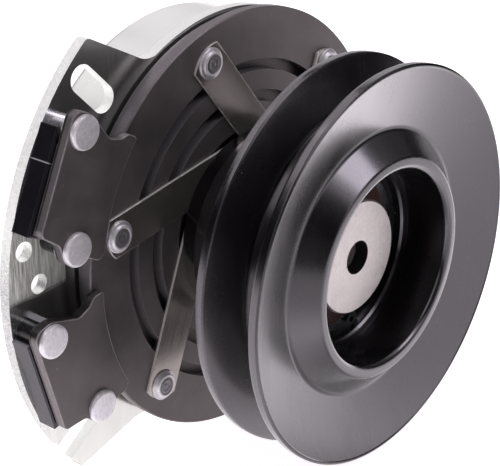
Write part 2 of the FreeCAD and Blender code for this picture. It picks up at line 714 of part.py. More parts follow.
def lead_grommet():
    """Plug in the shell's lead outlet, from the cup's inner wall to the socket."""
    grommet = new_body("lead_grommet")
    sketch = side_sketch(grommet, "plug", cup_in_r)
    circle(sketch, -(dim.lead_st + dim.outlet_lead), 0.0, dim.grommet_r)
    pad(grommet, sketch, dim.con_r1 - cup_in_r, "plug_pad")
    sketch = side_sketch(grommet, "ducts")
    lead_circles(sketch, dim.lead_r)
    pocket(grommet, sketch, 90.0, "ducts_cut")


def coil_leads():
    leads = new_body("coil_leads")
    sketch = side_sketch(leads, "wires", dim.lead_start_x)
    lead_circles(sketch, dim.lead_r - dim.lead_play)
    pad(leads, sketch, dim.con_r1 - dim.lead_start_x, "wires_pad")


connector_socket()
connector_blades()
lead_grommet()
coil_leads()


# ================================================================ ROTOR (turns with the crankshaft)
def keyed_hub():
    hub = turned("keyed_hub", [
        (dim.bore_r, 0.0),
        (dim.hub_rear_r, 0.0),
        (dim.hub_rear_r, dim.hub_shoulder_st),
        (dim.hub_shoulder_r, dim.hub_shoulder_st),
        (dim.hub_shoulder_r, dim.rotor_front_st),
        (dim.hub_mid_r, dim.rotor_front_st),
        (dim.hub_mid_r, dim.hub_step_st),
        (dim.hub_nose_r, dim.hub_step_st),
        (dim.hub_nose_r, dim.hub_nose_st),
        (dim.bolt_r + dim.bolt_play, dim.hub_nose_st),
        (dim.bolt_r + dim.bolt_play, dim.bore_len),
        (dim.bore_r, dim.bore_len),
    ])
    sketch = cross_sketch(hub, "keyway", -1.0)
    rectangle(sketch, dim.key_w * -0.5, dim.key_low, dim.key_w * 0.5, dim.key_top)
    pocket(hub, sketch, dim.key_len + 1.0, "keyway_cut")
    chamfer_edges(hub, circle_edges(hub, dim.hub_rear_r, 0.0), dim.hub_chamfer, "rear_chamfer")


def clamp_collar():
    collar = turned("clamp_collar", [
        (dim.bolt_r, dim.collar_front_st),
        (dim.collar_r, dim.collar_front_st),
        (dim.collar_r, dim.pb_front_st),
        (dim.hub_nose_r + dim.collar_play, dim.pb_front_st),
        (dim.hub_nose_r + dim.collar_play, dim.collar_wall_st),
        (dim.bolt_r, dim.collar_wall_st),
    ])
    # each flat is cut rearwards, over the collar's rear end only
    for side, sign in (("a", 1.0), ("b", -1.0)):
        sketch = cross_sketch(collar, "flat_" + side, dim.pb_front_st + dim.collar_flat_len)
        rectangle(sketch, dim.collar_flat * sign, -dim.flat_cut_half,
                  dim.flat_cut_x * sign, dim.flat_cut_half)
        pocket(collar, sketch, 12.0, "flat_cut_" + side, along_normal=False)
    chamfer_edges(collar, circle_edges(collar, dim.collar_r, dim.collar_front_st),
                  dim.collar_chamfer, "front_chamfer")
    at_angle(collar, dim.collar_turn)


def rotor_disc():
    rotor = turned("rotor_disc", [
        (dim.hub_shoulder_r, dim.rotor_front_st),
        (dim.rotor_r, dim.rotor_front_st),
        (dim.rotor_r, rotor_rear),
        (dim.skirt_out_r2, rotor_rear),
        (dim.skirt_out_r2, dim.skirt_st),
        (dim.skirt_out_r1, dim.skirt_st),
        (dim.skirt_out_r1, rotor_rear),
        (dim.skirt_in_r2, rotor_rear),
        (dim.skirt_in_r2, dim.skirt_st),
        (dim.skirt_in_r1, dim.skirt_st),
        (dim.skirt_in_r1, rotor_rear),
        (dim.rotor_boss_r, rotor_rear),
        (dim.rotor_boss_r, dim.rotor_boss_st),
        (dim.hub_shoulder_r, dim.rotor_boss_st),
    ])
    slot = through_cut(rotor, "flux_slot", rotor_rear, dim.rotor_t, outlines=[
        arc_slot(dim.rotor_slot_r1, dim.rotor_slot_r2,
                 -dim.rotor_slot_half_turn, dim.rotor_slot_half_turn)])
    polar_cuts(rotor, slot, 6, "flux_slots")


keyed_hub()
clamp_collar()
rotor_disc()

# ================================================================ PULLEY
# Front flange, pressed steel: from the rim a cone runs in to a valley, a raised round bead
# stands round the opening, and a drawn collar turns back along the axis. Radius, station.
turned("pulley_front_flange", [
    (67.0, 101.8),                              # rim, front corner
    (46.207, 95.332), via(45.360, 95.304),      # foot of the front cone
    (44.617, 95.711),                           # rising side of the bead
    (37.924, 102.193), via(37.347, 102.568),    # shoulder
    (36.671, dim.crest_st),                     # crest
    (36.4, dim.crest_st), via(34.137, 101.763),
    (dim.open_r, 99.5),                         # lip of the opening
    (dim.open_r, dim.collar_end_st),
    (dim.collar_out_r, dim.collar_end_st),
    (dim.collar_out_r, 99.85),                  # back of the bead
    (42.670, 93.699), via(44.711, 92.580),
    (47.038, 92.659),                           # groove side of the cone
    (67.3, 98.0),
    (dim.pul_r, 99.7), via(67.72, 100.88),
])
# Rear flange: radius, station.
turned("pulley_rear_flange", [
    (67.0, 79.9),                               # rim, groove side
    (dim.root_r + 0.9, 85.1),
    (dim.root_r - 1.8, dim.root_rear_st),
    (dim.collar_out_r, dim.root_rear_st - 2.4),
    (dim.collar_out_r, dim.root_rear_st - 2.4 - dim.sheet_t),
    (dim.root_r - 1.2, 82.1),
    (66.1, 76.7), via(66.8, 76.8),              # rounded rear corner of the rim
    (67.2, dim.rear_rim_st),
])
# Belt groove root: a ring between the flanges, with a slanted front face.
root_ring_rear = dim.root_rear_st + 0.05
turned("groove_root_ring", [
    (dim.root_r, 94.1),
    (dim.root_r, root_ring_rear),
    (dim.root_r - dim.root_ring_t, root_ring_rear),
    (dim.root_r - dim.root_ring_t, 93.35),
])

pulley_hub = turned("pulley_hub", [
    (dim.phub_mouth_r, dim.collar_end_st),
    (dim.collar_out_r, dim.collar_end_st),
    (dim.collar_out_r, dim.phub_cone_front_st),
    (dim.phub_rear_r, dim.phub_cone_rear_st),
    (dim.phub_rear_r, strap_front),
    (dim.phub_in_r, strap_front),
    (dim.phub_in_r, phub_flange_front),
    (dim.phub_cup_r, phub_flange_front),
    (dim.phub_cup_r, pb_rear),
    (dim.brg_out_r, pb_rear),
    (dim.brg_out_r, dim.pb_front_st),           # snap ring groove
    (dim.ring_groove_r, dim.pb_front_st),
    (dim.ring_groove_r, dim.pb_front_st + dim.ring_t),
    (dim.brg_out_r, dim.pb_front_st + dim.ring_t),
    (dim.brg_out_r, dim.phub_mouth_st),
])
through_cut(pulley_hub, "rivet_holes", strap_front, dim.phub_flange_t,
            holes=[(*place, inner_rivet_hole_r) for place in INNER_RIVETS])


# ---- leaf straps: six flat springs between the pulley hub and the armature
def leaf_strap(label, turn):
    body = new_body(label)
    sketch = cross_sketch(body, "outline", dim.arm_front_st)
    low, high = dim.strap_off - dim.strap_w * 0.5, dim.strap_off + dim.strap_w * 0.5
    closed_profile(sketch, [
        (-dim.strap_out, low),
        (dim.strap_in, low), via(dim.strap_in_tip, dim.strap_off),
        (dim.strap_in, high),
        (-dim.strap_out, high), via(-dim.strap_out_tip, dim.strap_off),
    ])
    pad(body, sketch, dim.strap_t, "leaf")
    outer_hole_x = Length(
        -math.sqrt(dim.arm_rivet_r.value ** 2 - dim.strap_off.value ** 2),
        "(0 - sqrt(dim.arm_rivet_r^2 - dim.strap_off^2))")
    through_cut(body, "rivet_holes", dim.arm_front_st, dim.strap_t, holes=[
        (outer_hole_x, dim.strap_off, arm_rivet_hole_r),
        (-dim.strap_rivet_in, dim.strap_off, inner_rivet_hole_r),
    ])
    at_angle(body, turn)


for k in range(6):
    leaf_strap("leaf_strap_%d" % (k + 1), strap_turn + 60.0 * k)

discs("strap_rivets_inner", INNER_RIVETS, [
    (dim.in_rivet_head_r, None, dim.arm_front_st - dim.in_rivet_rear_t, dim.arm_front_st),
    (dim.in_rivet_shank_r, None, dim.arm_front_st, phub_flange_front),
    (dim.in_rivet_head_r, None, phub_flange_front, phub_flange_front + dim.in_rivet_front_t),
])


# ================================================================ ARMATURE
# It turns with the pulley and slides to the rotor.
def armature_slot(inner_r, outer_r, web):
    """Rows of one slot of a ring of six; web is the lead of the web's middle over a rivet."""
    inner_r, outer_r = inner_r.value, outer_r.value
    cap = math.degrees((outer_r - inner_r) / (inner_r + outer_r))
    start = dim.arm_rivet_turn + web + dim.arm_web_deg * 0.5 + cap
    return arc_slot(inner_r, outer_r, start, start + 60.0 - dim.arm_web_deg - 2 * cap)


def armature_plate():
    plate = plain_ring("armature_plate", dim.arm_hole_r, dim.arm_r, dim.arm_front_st, arm_rear)
    for name, inner_r, outer_r, web in (
            ("slot_outer", dim.arm_slot_a1, dim.arm_slot_a2, dim.arm_web_a),
            ("slot_inner", dim.arm_slot_b1, dim.arm_slot_b2, dim.arm_web_b)):
        slot = through_cut(plate, name, arm_rear, dim.arm_t,
                           outlines=[armature_slot(inner_r, outer_r, web)])
        polar_cuts(plate, slot, 6, name + "s")
    through_cut(plate, "rivet_holes", arm_rear, dim.arm_t,
                holes=[(*place, arm_rivet_hole_r) for place in ARM_RIVETS])
    chamfer_edges(plate, circle_edges(plate, dim.arm_r, dim.arm_front_st, arm_rear),
                  dim.arm_chamfer, "rim_break")


armature_plate()
arm_rivets = discs("armature_rivets", ARM_RIVETS, [
    (dim.arm_rivet_shank_r, None, arm_rear + dim.arm_rivet_inset, strap_front),
    (dim.arm_rivet_head_r, None, strap_front, dim.arm_rivet_top_st),
])
round_edges(arm_rivets, circle_edges(arm_rivets, dim.arm_rivet_head_r, dim.arm_rivet_top_st),
            dim.arm_rivet_round, "head_round")


# ================================================================ BEARINGS AND SNAP RINGS
BALL_COUNT = 12   # in each row


def bearing_ring(label, inner_r, outer_r, front, rear, race_name, pitch_r, ball_r, rows):
    """A bearing ring with one ball race grooved out of it for each row."""
    ring = plain_ring(label, inner_r, outer_r, front, rear)
    for suffix, station in rows.items():
        sketch = sketch_on(ring, race_name + suffix, "XY_Plane")
        circle(sketch, pitch_r, -station, ball_r + dim.race_play)
        add_cut(ring, "Groove", race_name + suffix + "_cut", Profile=sketch,
                ReferenceAxis=(sketch, ["V_Axis"]), Angle=360.0)


def bearing_cage(label, pitch_r, half_t, half_w, middle, ball_r, rows):
    cage = plain_ring(label, pitch_r - half_t, pitch_r + half_t, middle + half_w, middle - half_w)
    for k, station in enumerate(rows.values()):
        sketch = side_sketch(cage, "pocket%d" % k)
        circle(sketch, -station, 0.0, ball_r + dim.cage_play)
        hole = pocket(cage, sketch, 60.0, "pocket%d_cut" % k)
        polar_cuts(cage, hole, BALL_COUNT, "pockets%d" % k)


def bearing_balls(label, pitch_r, ball_r, rows):
    """Separate balls round the axis, kept together in one compound."""
    shapes = []
    for station in rows.values():
        for i in range(BALL_COUNT):
            x, z = polar_xy(pitch_r, 360.0 * i / BALL_COUNT)
            ball = Part.makeSphere(ball_r.value, Vector(0, 0, 0))
            ball.Placement = Placement(Vector(x, -station.value, z), Rotation())
            shapes.append(ball)
    balls = doc.addObject("Part::Feature", label)
    balls.Label = label
    balls.Shape = Part.makeCompound(shapes)
    PIECES.append(balls)


def bearing(label, front, rear, middle, bore_r, inner_r, pitch_r, ball_r, rows,
            cage_half_t, cage_half_w):
    """A sealed ball bearing. rows gives the station of each ball row under its name suffix."""
    bearing_ring(label + "_outer_ring", dim.pb_out_r1, dim.brg_out_r, front, rear,
                 "outer_race", pitch_r, ball_r, rows)
    bearing_ring(label + "_inner_ring", bore_r, inner_r, front, rear,
                 "inner_race", pitch_r, ball_r, rows)
    for side, seal_front in (("front", front - dim.seal_inset),
                             ("rear", rear + dim.seal_t + dim.seal_inset)):
        plain_ring("%s_%s_seal" % (label, side), inner_r + dim.seal_gap, dim.pb_out_r1,
                   seal_front, seal_front - dim.seal_t)
    bearing_cage(label + "_cage", pitch_r, cage_half_t, cage_half_w, middle, ball_r, rows)
    bearing_balls(label + "_balls", pitch_r, ball_r, rows)


bearing("field_bearing", dim.fb_front_st, fb_rear, fb_mid,
        bore_r=dim.fb_bore_r, inner_r=dim.fb_in_r, pitch_r=dim.fb_pitch_r,
        ball_r=dim.fb_ball_r, rows={"": fb_mid},
        cage_half_t=dim.fb_cage_half_t, cage_half_w=dim.fb_cage_half_w)
bearing("pulley_bearing", dim.pb_front_st, pb_rear, pb_mid,
        bore_r=dim.pb_bore_r, inner_r=dim.pb_in_r, pitch_r=dim.pb_pitch_r,
        ball_r=dim.pb_ball_r, rows={"_a": pb_mid + dim.pb_row, "_b": pb_mid - dim.pb_row},
        cage_half_t=dim.pb_cage_half_t, cage_half_w=dim.pb_cage_half_w)


def snap_ring(label, front, turn):
    """An internal retaining ring with a gap and two drilled lugs."""
    thickness = dim.ring_t - dim.ring_play
    rear = front - dim.ring_t + dim.ring_play
    ring = plain_ring(label, dim.ring_in_r, dim.ring_groove_r - dim.ring_play, front, rear)
    through_cut(ring, "gap", rear, thickness, outlines=[[
        (dim.gap_x1, -dim.gap_half), (dim.gap_x2, -dim.gap_half),
        (dim.gap_x2, dim.gap_half), (dim.gap_x1, dim.gap_half)]])
    sketch = cross_sketch(ring, "lugs", rear)
    for z in (dim.lug_z, -dim.lug_z):
        circle(sketch, dim.lug_x, z, dim.lug_r)
    pad(ring, sketch, thickness, "lugs_pad")
    through_cut(ring, "lug_holes", rear, thickness,
                holes=[(dim.lug_hole_x, z, dim.lug_hole_r) for z in (dim.lug_z, -dim.lug_z)])
    at_angle(ring, turn)


snap_ring("field_snap_ring", fb_rear, 250.0)
snap_ring("pulley_snap_ring", dim.pb_front_st + dim.ring_t - dim.ring_lift, 302.0)

# ---------------------------------------------------------------- check and write
doc.recompute()
faults = []
for item in doc.Objects:
    if "Invalid" in item.State or "Error" in item.State:
        faults.append("%s (%s): %s" % (item.Label, item.TypeId, item.State))
for piece in PIECES:
    if piece.Shape.isNull() or not piece.Shape.isValid() or not piece.Shape.Solids:
        faults.append("%s: shape null, invalid or without a solid" % piece.Label)
if faults:
    raise RuntimeError("; ".join(faults))
for piece in PIECES:
    piece.Shape.exportStep("parts/%s.step" % piece.Label)
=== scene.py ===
"""A belt-driven clutch with its pulley, leaf straps and rivets, on a pale studio floor.

The clutch axis is the Y axis and the front faces -Y; +X is right and +Z is up.
Shapes are given in millimetres and scaled to metres by MM. Angles about the axis are in
degrees, from +X towards +Z. Shaders, stage and camera are in metres.
"""
import json
import math
from contextlib import contextmanager
from functools import cached_property

import bmesh
import bpy
from mathutils import Matrix, Vector


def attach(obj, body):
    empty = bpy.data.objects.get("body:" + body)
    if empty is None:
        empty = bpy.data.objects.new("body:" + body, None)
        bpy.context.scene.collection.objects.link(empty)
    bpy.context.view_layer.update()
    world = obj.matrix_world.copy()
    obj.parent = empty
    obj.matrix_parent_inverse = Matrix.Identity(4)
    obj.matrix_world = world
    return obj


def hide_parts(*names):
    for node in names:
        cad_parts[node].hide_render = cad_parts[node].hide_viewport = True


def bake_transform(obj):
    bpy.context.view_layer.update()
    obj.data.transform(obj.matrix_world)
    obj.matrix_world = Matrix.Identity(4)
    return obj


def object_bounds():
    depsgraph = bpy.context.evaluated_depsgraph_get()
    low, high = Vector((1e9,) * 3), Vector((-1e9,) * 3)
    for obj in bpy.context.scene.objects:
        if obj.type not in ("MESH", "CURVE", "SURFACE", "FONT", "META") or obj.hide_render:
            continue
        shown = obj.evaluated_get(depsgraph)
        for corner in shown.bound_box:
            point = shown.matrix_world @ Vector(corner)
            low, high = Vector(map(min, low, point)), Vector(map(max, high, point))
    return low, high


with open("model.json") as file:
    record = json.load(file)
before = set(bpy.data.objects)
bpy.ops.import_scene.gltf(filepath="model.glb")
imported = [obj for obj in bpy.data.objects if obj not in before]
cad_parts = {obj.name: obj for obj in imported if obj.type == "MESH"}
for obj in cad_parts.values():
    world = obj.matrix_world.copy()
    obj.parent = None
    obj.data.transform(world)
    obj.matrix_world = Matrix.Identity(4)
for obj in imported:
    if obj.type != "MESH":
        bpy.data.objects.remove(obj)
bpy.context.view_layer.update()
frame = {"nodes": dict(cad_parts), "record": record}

MM = 0.001
FRONT_RIM_Y = -102.0         # plane of the pulley's front rim
RIVET_CIRCLE = 64.2          # radius of the armature rivets' circle
RIVET_ANGLE = 46.5           # first armature rivet
PITCH = 60.0                 # six straps and rivets to the turn
POLE_TURNS = (155.4, 195.6)  # directions of the two poles

scene = bpy.context.scene

# ------------------------------------------------------------------ shader graphs
MATERIALS = {}


class Signal:
    """A shader output; arithmetic on it adds Math nodes."""

    def __init__(self, graph, socket):
        self.graph = graph
        self.socket = socket

    def __add__(self, other):
        return self.graph.math("ADD", self, other)

    def __radd__(self, other):
        return self.graph.math("ADD", other, self)

    def __rsub__(self, other):
        return self.graph.math("SUBTRACT", other, self)

    def __mul__(self, other):
        return self.graph.math("MULTIPLY", self, other)

    def __truediv__(self, other):
        return self.graph.math("DIVIDE", self, other)

    def __abs__(self):
        return self.graph.math("ABSOLUTE", self)


class Graph:
    """A node material round one Principled shader, entered in MATERIALS by name."""

    def __init__(self, name):
        self.material = bpy.data.materials.new(name)
        self.material.use_nodes = True
        self.tree = self.material.node_tree
        self.tree.nodes.clear()
        output = self.node("OutputMaterial")
        self.shader = self.node("BsdfPrincipled")
        self.tree.links.new(self.shader.outputs["BSDF"], output.inputs["Surface"])
        MATERIALS[name] = self.material

    def put(self, socket, value):
        """Links a signal to an input, or sets the input's value."""
        if isinstance(value, Signal):
            self.tree.links.new(value.socket, socket)
            return
        if socket.type == "RGBA" and len(value) == 3:
            value = (*value, 1.0)
        socket.default_value = value

    def fill(self, node, inputs):
        for key, value in inputs.items():
            self.put(node.inputs[key.replace("_", " ")], value)

    def node(self, kind, **inputs):
        node = self.tree.nodes.new("ShaderNode" + kind)
        self.fill(node, inputs)
        return node

    def out(self, kind, output, **inputs):
        return Signal(self, self.node(kind, **inputs).outputs[output])

    def set(self, **inputs):
        """Sets inputs of the Principled shader."""
        self.fill(self.shader, inputs)

    @cached_property
    def coord(self):
        return self.out("TexCoord", "Object")

    @cached_property
    def normal(self):
        return self.out("NewGeometry", "Normal")

    def stretch(self, x, y, z, turn=0.0):
        """Object coordinates scaled per axis and turned about Y by radians."""
        return self.out("Mapping", "Vector", Scale=(x, y, z), Rotation=(0, turn, 0),
                        Vector=self.coord)

    def noise(self, scale, detail=3.0, rough=0.55, at=None):
        return self.out("TexNoise", "Fac", Scale=scale, Detail=detail, Roughness=rough,
                        Vector=at or self.coord)

    def cells(self, scale):
        """Distance to the nearest of many scattered points."""
        return self.out("TexVoronoi", "Distance", Scale=scale, Vector=self.coord)

    def step(self, value, start, end, before):
        """Holds before (0 or 1) up to start, and reaches the other level at end."""
        node = self.node("ValToRGB", Fac=value)
        stops = node.color_ramp.elements
        while len(stops) > 1:
            stops.remove(stops[-1])
        for i, (place, level) in enumerate([(0.0, before), (start, before), (end, 1.0 - before)]):
            stop = stops[0] if i == 0 else stops.new(place)
            stop.position = place
            stop.color = (level, level, level, 1)
        return Signal(self, node.outputs["Color"])

    def fade(self, value, start, end, first=0.0, last=1.0):
        """Goes from first to last as the value goes from start to end."""
        return self.out("MapRange", "Result", From_Min=start, From_Max=end,
                        To_Min=first, To_Max=last, Value=value)

    def math(self, operation, a, b=0.0, clamp=False):
        node = self.node("Math")
        node.operation = operation
        node.use_clamp = clamp
        self.put(node.inputs[0], a)
        self.put(node.inputs[1], b)
        return Signal(self, node.outputs[0])

    def mix(self, factor, under, over):
        """Mixes two colours; sockets 6 and 7 are the colour pair."""
        node = self.node("Mix")
        node.data_type = "RGBA"
        for index, value in ((0, factor), (6, under), (7, over)):
            self.put(node.inputs[index], value)
        return Signal(self, node.outputs[2])

    def tone(self, value, start, end, under, over, amount=1.0):
        """Mixes in up to amount of the over colour as the value goes from start to end."""
        return self.mix(self.fade(value, start, end, last=amount), under, over)

    def bump(self, height, strength, distance, over=None):
        inputs = {"Normal": over} if over else {}
        return self.out("Bump", "Normal", Strength=strength, Distance=distance,
                        Height=height, **inputs)

    def split(self, vector):
        node = self.node("SeparateXYZ")
        self.put(node.inputs[0], vector)
        return [Signal(self, output) for output in node.outputs]

    def combine(self, *values):
        node = self.node("CombineXYZ")
        for socket, value in zip(node.inputs, values):
            self.put(socket, value)
        return Signal(self, node.outputs[0])

    def distance(self, a, b):
        return self.math("SQRT", a * a + b * b)

    def axis_radius(self):
        """Distance from the clutch axis."""
        x, _, z = self.split(self.coord)
        return self.distance(x, z)

    def attribute(self, name):
        node = self.node("Attribute")
        node.attribute_name = name
        return Signal(self, node.outputs["Fac"])

    def edge_band(self, radius):
        """1 near an edge and 0 elsewhere, from how far the bevel normal leans."""
        bevel = self.node("Bevel", Radius=radius)
        bevel.samples = 4
        dot = self.node("VectorMath")
        dot.operation = "DOT_PRODUCT"
        self.put(dot.inputs[0], Signal(self, bevel.outputs["Normal"]))
        self.put(dot.inputs[1], self.normal)
        return self.fade(Signal(self, dot.outputs["Value"]), 0.995, 0.80)

    def dust(self, base, colour, scale, size):
        """Sparse specks; a coarser noise drops most of them."""
        specks = self.step(self.cells(scale), size, size * 1.4, before=1.0)
        gate = self.step(self.noise(scale * 0.31, detail=1.0), 0.63, 0.66, before=0.0)
        return self.mix(specks * gate, base, colour)


# ------------------------------------------------------------------ materials
def gloss_black_paint():
    mat = Graph("gloss_black_paint")
    cloud = mat.noise(38.0, detail=4.0, rough=0.6)
    fine = mat.noise(2600.0, detail=2.0)
    smear = mat.noise(90.0, rough=0.6, at=mat.stretch(1.0, 1.0, 0.25, turn=0.5))
    base = mat.tone(cloud, 0.35, 0.7, (0.0034, 0.0032, 0.0038), (0.0056, 0.0052, 0.0060))
    base = mat.dust(base, (0.22, 0.21, 0.21), scale=210.0, size=0.045)
    rough = (mat.fade(smear, 0.3, 0.72, first=0.22, last=0.31)
             + mat.fade(fine, 0.3, 0.7, first=-0.015, last=0.015))
    ripple = mat.bump(mat.noise(620.0, detail=2.0, rough=0.5), strength=0.10, distance=0.00006)
    ripple = mat.bump(fine, strength=0.05, distance=0.00003, over=ripple)
    # the wall of the bore reflects less
    _, normal_y, _ = mat.split(mat.normal)
    bore = (mat.fade(mat.axis_radius(), 0.0346, 0.0338)
            * mat.fade(abs(normal_y), 0.25, 0.05))
    mat.set(Base_Color=base, Roughness=rough, Normal=ripple, Specular_Tint=(1.0, 0.92, 1.0),
            Specular_IOR_Level=mat.fade(bore, 0.0, 1.0, first=1.0, last=0.25),
            Coat_Weight=mat.fade(bore, 0.0, 1.0, first=0.9, last=0.15),
            Coat_Roughness=mat.fade(cloud, 0.3, 0.7, first=0.13, last=0.22), Coat_IOR=1.55)


def phosphated_steel():
    mat = Graph("phosphated_steel")
    radius = mat.axis_radius()
    grain = mat.noise(1900.0, detail=4.0, rough=0.7)
    cloud = mat.noise(55.0, detail=5.0, rough=0.6)
    # wavering rings round the axis
    waver = mat.noise(22.0, detail=2.0) * 3.0
    rings = mat.noise(1.0, detail=2.0, rough=0.6, at=mat.combine(radius * 3800.0, waver))
    base = mat.tone(cloud, 0.35, 0.68, (0.076, 0.0685, 0.0688), (0.118, 0.1055, 0.1058))
    base = mat.tone(grain, 0.55, 0.80, base, (0.160, 0.142, 0.142), amount=0.60)
    scratch = mat.noise(420.0, rough=0.7, at=mat.stretch(0.10, 1.0, 1.0, turn=0.7))
    base = mat.tone(scratch, 0.66, 0.74, base, (0.11, 0.10, 0.10), amount=0.25)

    _, normal_y, normal_z = mat.split(mat.normal)
    _, y, z = mat.split(mat.coord)
    wall = mat.fade(abs(normal_y), 0.55, 0.25)
    pole = mat.fade(radius, 0.0721, 0.0723) * mat.fade(y, -0.03986, -0.03990)
    # painted shade: upward-facing pole walls in the lower half are darkened
    upward = mat.fade(normal_z, 0.15, 0.45)
    lower = mat.fade(z, -0.002, 0.002, first=1.0, last=0.0)
    painted_shade = wall * pole * (upward * lower)
    base = mat.mix(painted_shade * 0.80, base, (0.006, 0.0055, 0.006))
    # painted light: the other walls are made paler, as lit walls
    painted_wall_light = wall * (1.0 - painted_shade) * mat.fade(grain, 0.35, 0.65, first=0.55)
    painted_wall_light_amount = mat.fade(pole, 0.0, 1.0, first=0.85, last=0.45)
    base = mat.mix(painted_wall_light * painted_wall_light_amount, base, (0.250, 0.235, 0.252))
    # painted shade: a dark band at the rear of the pole walls, next to the magnet
    painted_rear_shade = pole * wall * mat.fade(y, -0.0409, -0.0406)
    base = mat.mix(painted_rear_shade * 0.9, base, (0.007, 0.0065, 0.007))
    # painted highlight on the rolled corners, between face and wall
    flat = abs(normal_y)
    rolled_highlight = mat.fade(flat, 0.985, 0.94) * mat.fade(flat, 0.20, 0.45)
    rolled_highlight = rolled_highlight * mat.fade(mat.noise(310.0, rough=0.7), 0.36, 0.60, first=0.45)
    rolled_highlight_amount = mat.fade(pole, 0.0, 1.0, first=0.30, last=0.75)
    base = mat.mix(rolled_highlight * rolled_highlight_amount, base, (0.36, 0.335, 0.345))
    # nicked edges: edge wear, with a painted highlight along the edges
    edge_wear_and_highlight = mat.edge_band(0.00038)
    nick = mat.fade(mat.noise(240.0, rough=0.7), 0.36, 0.62, first=0.25)
    base = mat.mix(edge_wear_and_highlight * nick * 0.85, base, (0.34, 0.315, 0.32))
    base = mat.dust(base, (0.42, 0.40, 0.39), scale=330.0, size=0.05)
    # scattered broken marks
    mark = mat.step(mat.cells(95.0), 0.035, 0.06, before=1.0)
    mark = mark * mat.fade(mat.noise(2100.0, detail=2.0, rough=0.6), 0.45, 0.60)
    base = mat.mix(mark * 0.5, base, (0.26, 0.24, 0.24))

    rough = (mat.fade(cloud, 0.3, 0.7, first=0.35, last=0.46)
             + mat.fade(grain, 0.3, 0.7, first=-0.05, last=0.05))
    relief = mat.bump(grain, strength=0.16, distance=0.00006)
    relief = mat.bump(rings, strength=0.10, distance=0.00004, over=relief)
    mat.set(Base_Color=base, Metallic=0.35, Roughness=rough, Specular_IOR_Level=0.7,
            Specular_Tint=(1.0, 0.90, 0.88), Normal=relief)


def zinc_plate():
    mat = Graph("zinc_plate")
    # regions: flat faces, cut walls outside the cup, and the cup's own wall
    _, normal_y, _ = mat.split(mat.normal)
    face = mat.fade(abs(normal_y), 0.80, 0.97)
    radius = mat.axis_radius()
    outside = mat.fade(radius, 0.0735, 0.0745)
    sheared = (1.0 - face) * outside
    side = (1.0 - face) * (1.0 - outside)

    lines = mat.noise(1.0, rough=0.65, at=mat.stretch(3400.0, 600.0, 60.0))
    broad = mat.noise(1.0, detail=2.0, rough=0.5, at=mat.stretch(420.0, 120.0, 14.0))
    cloud = mat.noise(40.0, detail=4.0, rough=0.6)
    grit = mat.noise(1500.0, rough=0.7)
    pits = mat.cells(900.0)
    base = mat.tone(lines, 0.35, 0.66, (0.68, 0.69, 0.66), (0.86, 0.87, 0.82))
    base = mat.tone(cloud, 0.4, 0.7, base, (0.74, 0.73, 0.69), amount=0.3)
    # painted light: the cup's wall is made near white; it also glows a little
    painted_lit_cup = mat.tone(mat.noise(70.0, detail=4.0), 0.3, 0.7, (0.90, 0.92, 0.88), (0.97, 0.98, 0.94))
    base = mat.mix(side, base, painted_lit_cup)

    # painted light: walls facing away from the radius, or high up, are made brighter
    normal_x, _, normal_z = mat.split(mat.normal)
    x, _, z = mat.split(mat.coord)
    radial = (normal_x * x + normal_z * z) / radius
    painted_edge_light = mat.math("MAXIMUM", mat.fade(abs(radial), 0.75, 0.45),
                   mat.fade(z, 0.006, 0.024, last=0.85))
    wall = mat.tone(grit, 0.35, 0.65, (0.50, 0.505, 0.495), (0.88, 0.89, 0.87))
    bright = mat.tone(grit, 0.35, 0.65, (0.84, 0.86, 0.83), (0.98, 0.99, 0.96))
    base = mat.mix(sheared, base, mat.mix(painted_edge_light, wall, bright))

    # painted light: a bright brushed patch on the flat between the two poles, brighter to the left;
    # its lower and right edges stand for the armature's shadow and reflection
    lit_brushed_patch = (face * mat.fade(x, -0.0768, -0.0776)
               * (mat.fade(z, 0.0008, 0.0034) * mat.fade(z, 0.027, 0.022)))
    streak = mat.noise(1.0, detail=4.0, rough=0.75, at=mat.stretch(2300.0, 300.0, 90.0))
    lit_brushed_patch = lit_brushed_patch * mat.fade(x, -0.070, -0.098, first=0.55)
    streaks = mat.tone(streak, 0.38, 0.62, (0.25, 0.245, 0.225), (0.98, 0.97, 0.92))
    base = mat.mix(lit_brushed_patch, base, streaks)

    # painted shade: the rear faces are made darker, with a broad mottle, and rougher
    back = mat.fade(normal_y, 0.55, 0.90)
    smear = mat.noise(1.0, detail=4.0, rough=0.6, at=mat.stretch(90.0, 60.0, 22.0))
    back_shade_colour = mat.tone(smear, 0.32, 0.68, (0.40, 0.405, 0.39), (0.56, 0.565, 0.54))
    base = mat.mix(back, base, back_shade_colour)

    # each region adds its own roughness
    rough = mat.fade(lines, 0.3, 0.7, first=0.15, last=0.21)
    rough = rough + back * mat.fade(smear, 0.3, 0.7, first=0.20, last=0.12)
    rough = rough + sheared * 0.34
    rough = rough + side * mat.fade(cloud, 0.3, 0.7, first=-0.02, last=0.10)
    rough = rough + lit_brushed_patch * 0.22
    relief = mat.bump(lines, strength=0.07, distance=0.00003)
    relief = mat.bump(broad, strength=0.05, distance=0.00008, over=relief)
    relief = mat.bump((grit + pits) * sheared, strength=0.55, distance=0.00022, over=relief)
    # metallic lost in each region
    dull = sheared * (0.30 + painted_edge_light * 0.40) + (lit_brushed_patch * 0.80 + side * 0.65)
    # painted light: the cut walls painted brighter also glow a little, and the cup's wall glows too
    painted_glow = sheared * painted_edge_light * mat.fade(grit, 0.35, 0.65, first=0.20, last=0.42)
    mat.set(Base_Color=base, Metallic=mat.math("SUBTRACT", 0.94, dull, clamp=True),
            Roughness=rough, Normal=relief,
            Anisotropic=face * 0.6, Tangent=mat.combine(1.0, 0.0, 0.0),
            Emission_Color=(1.0, 1.0, 0.97), Emission_Strength=painted_glow + side * 0.10)


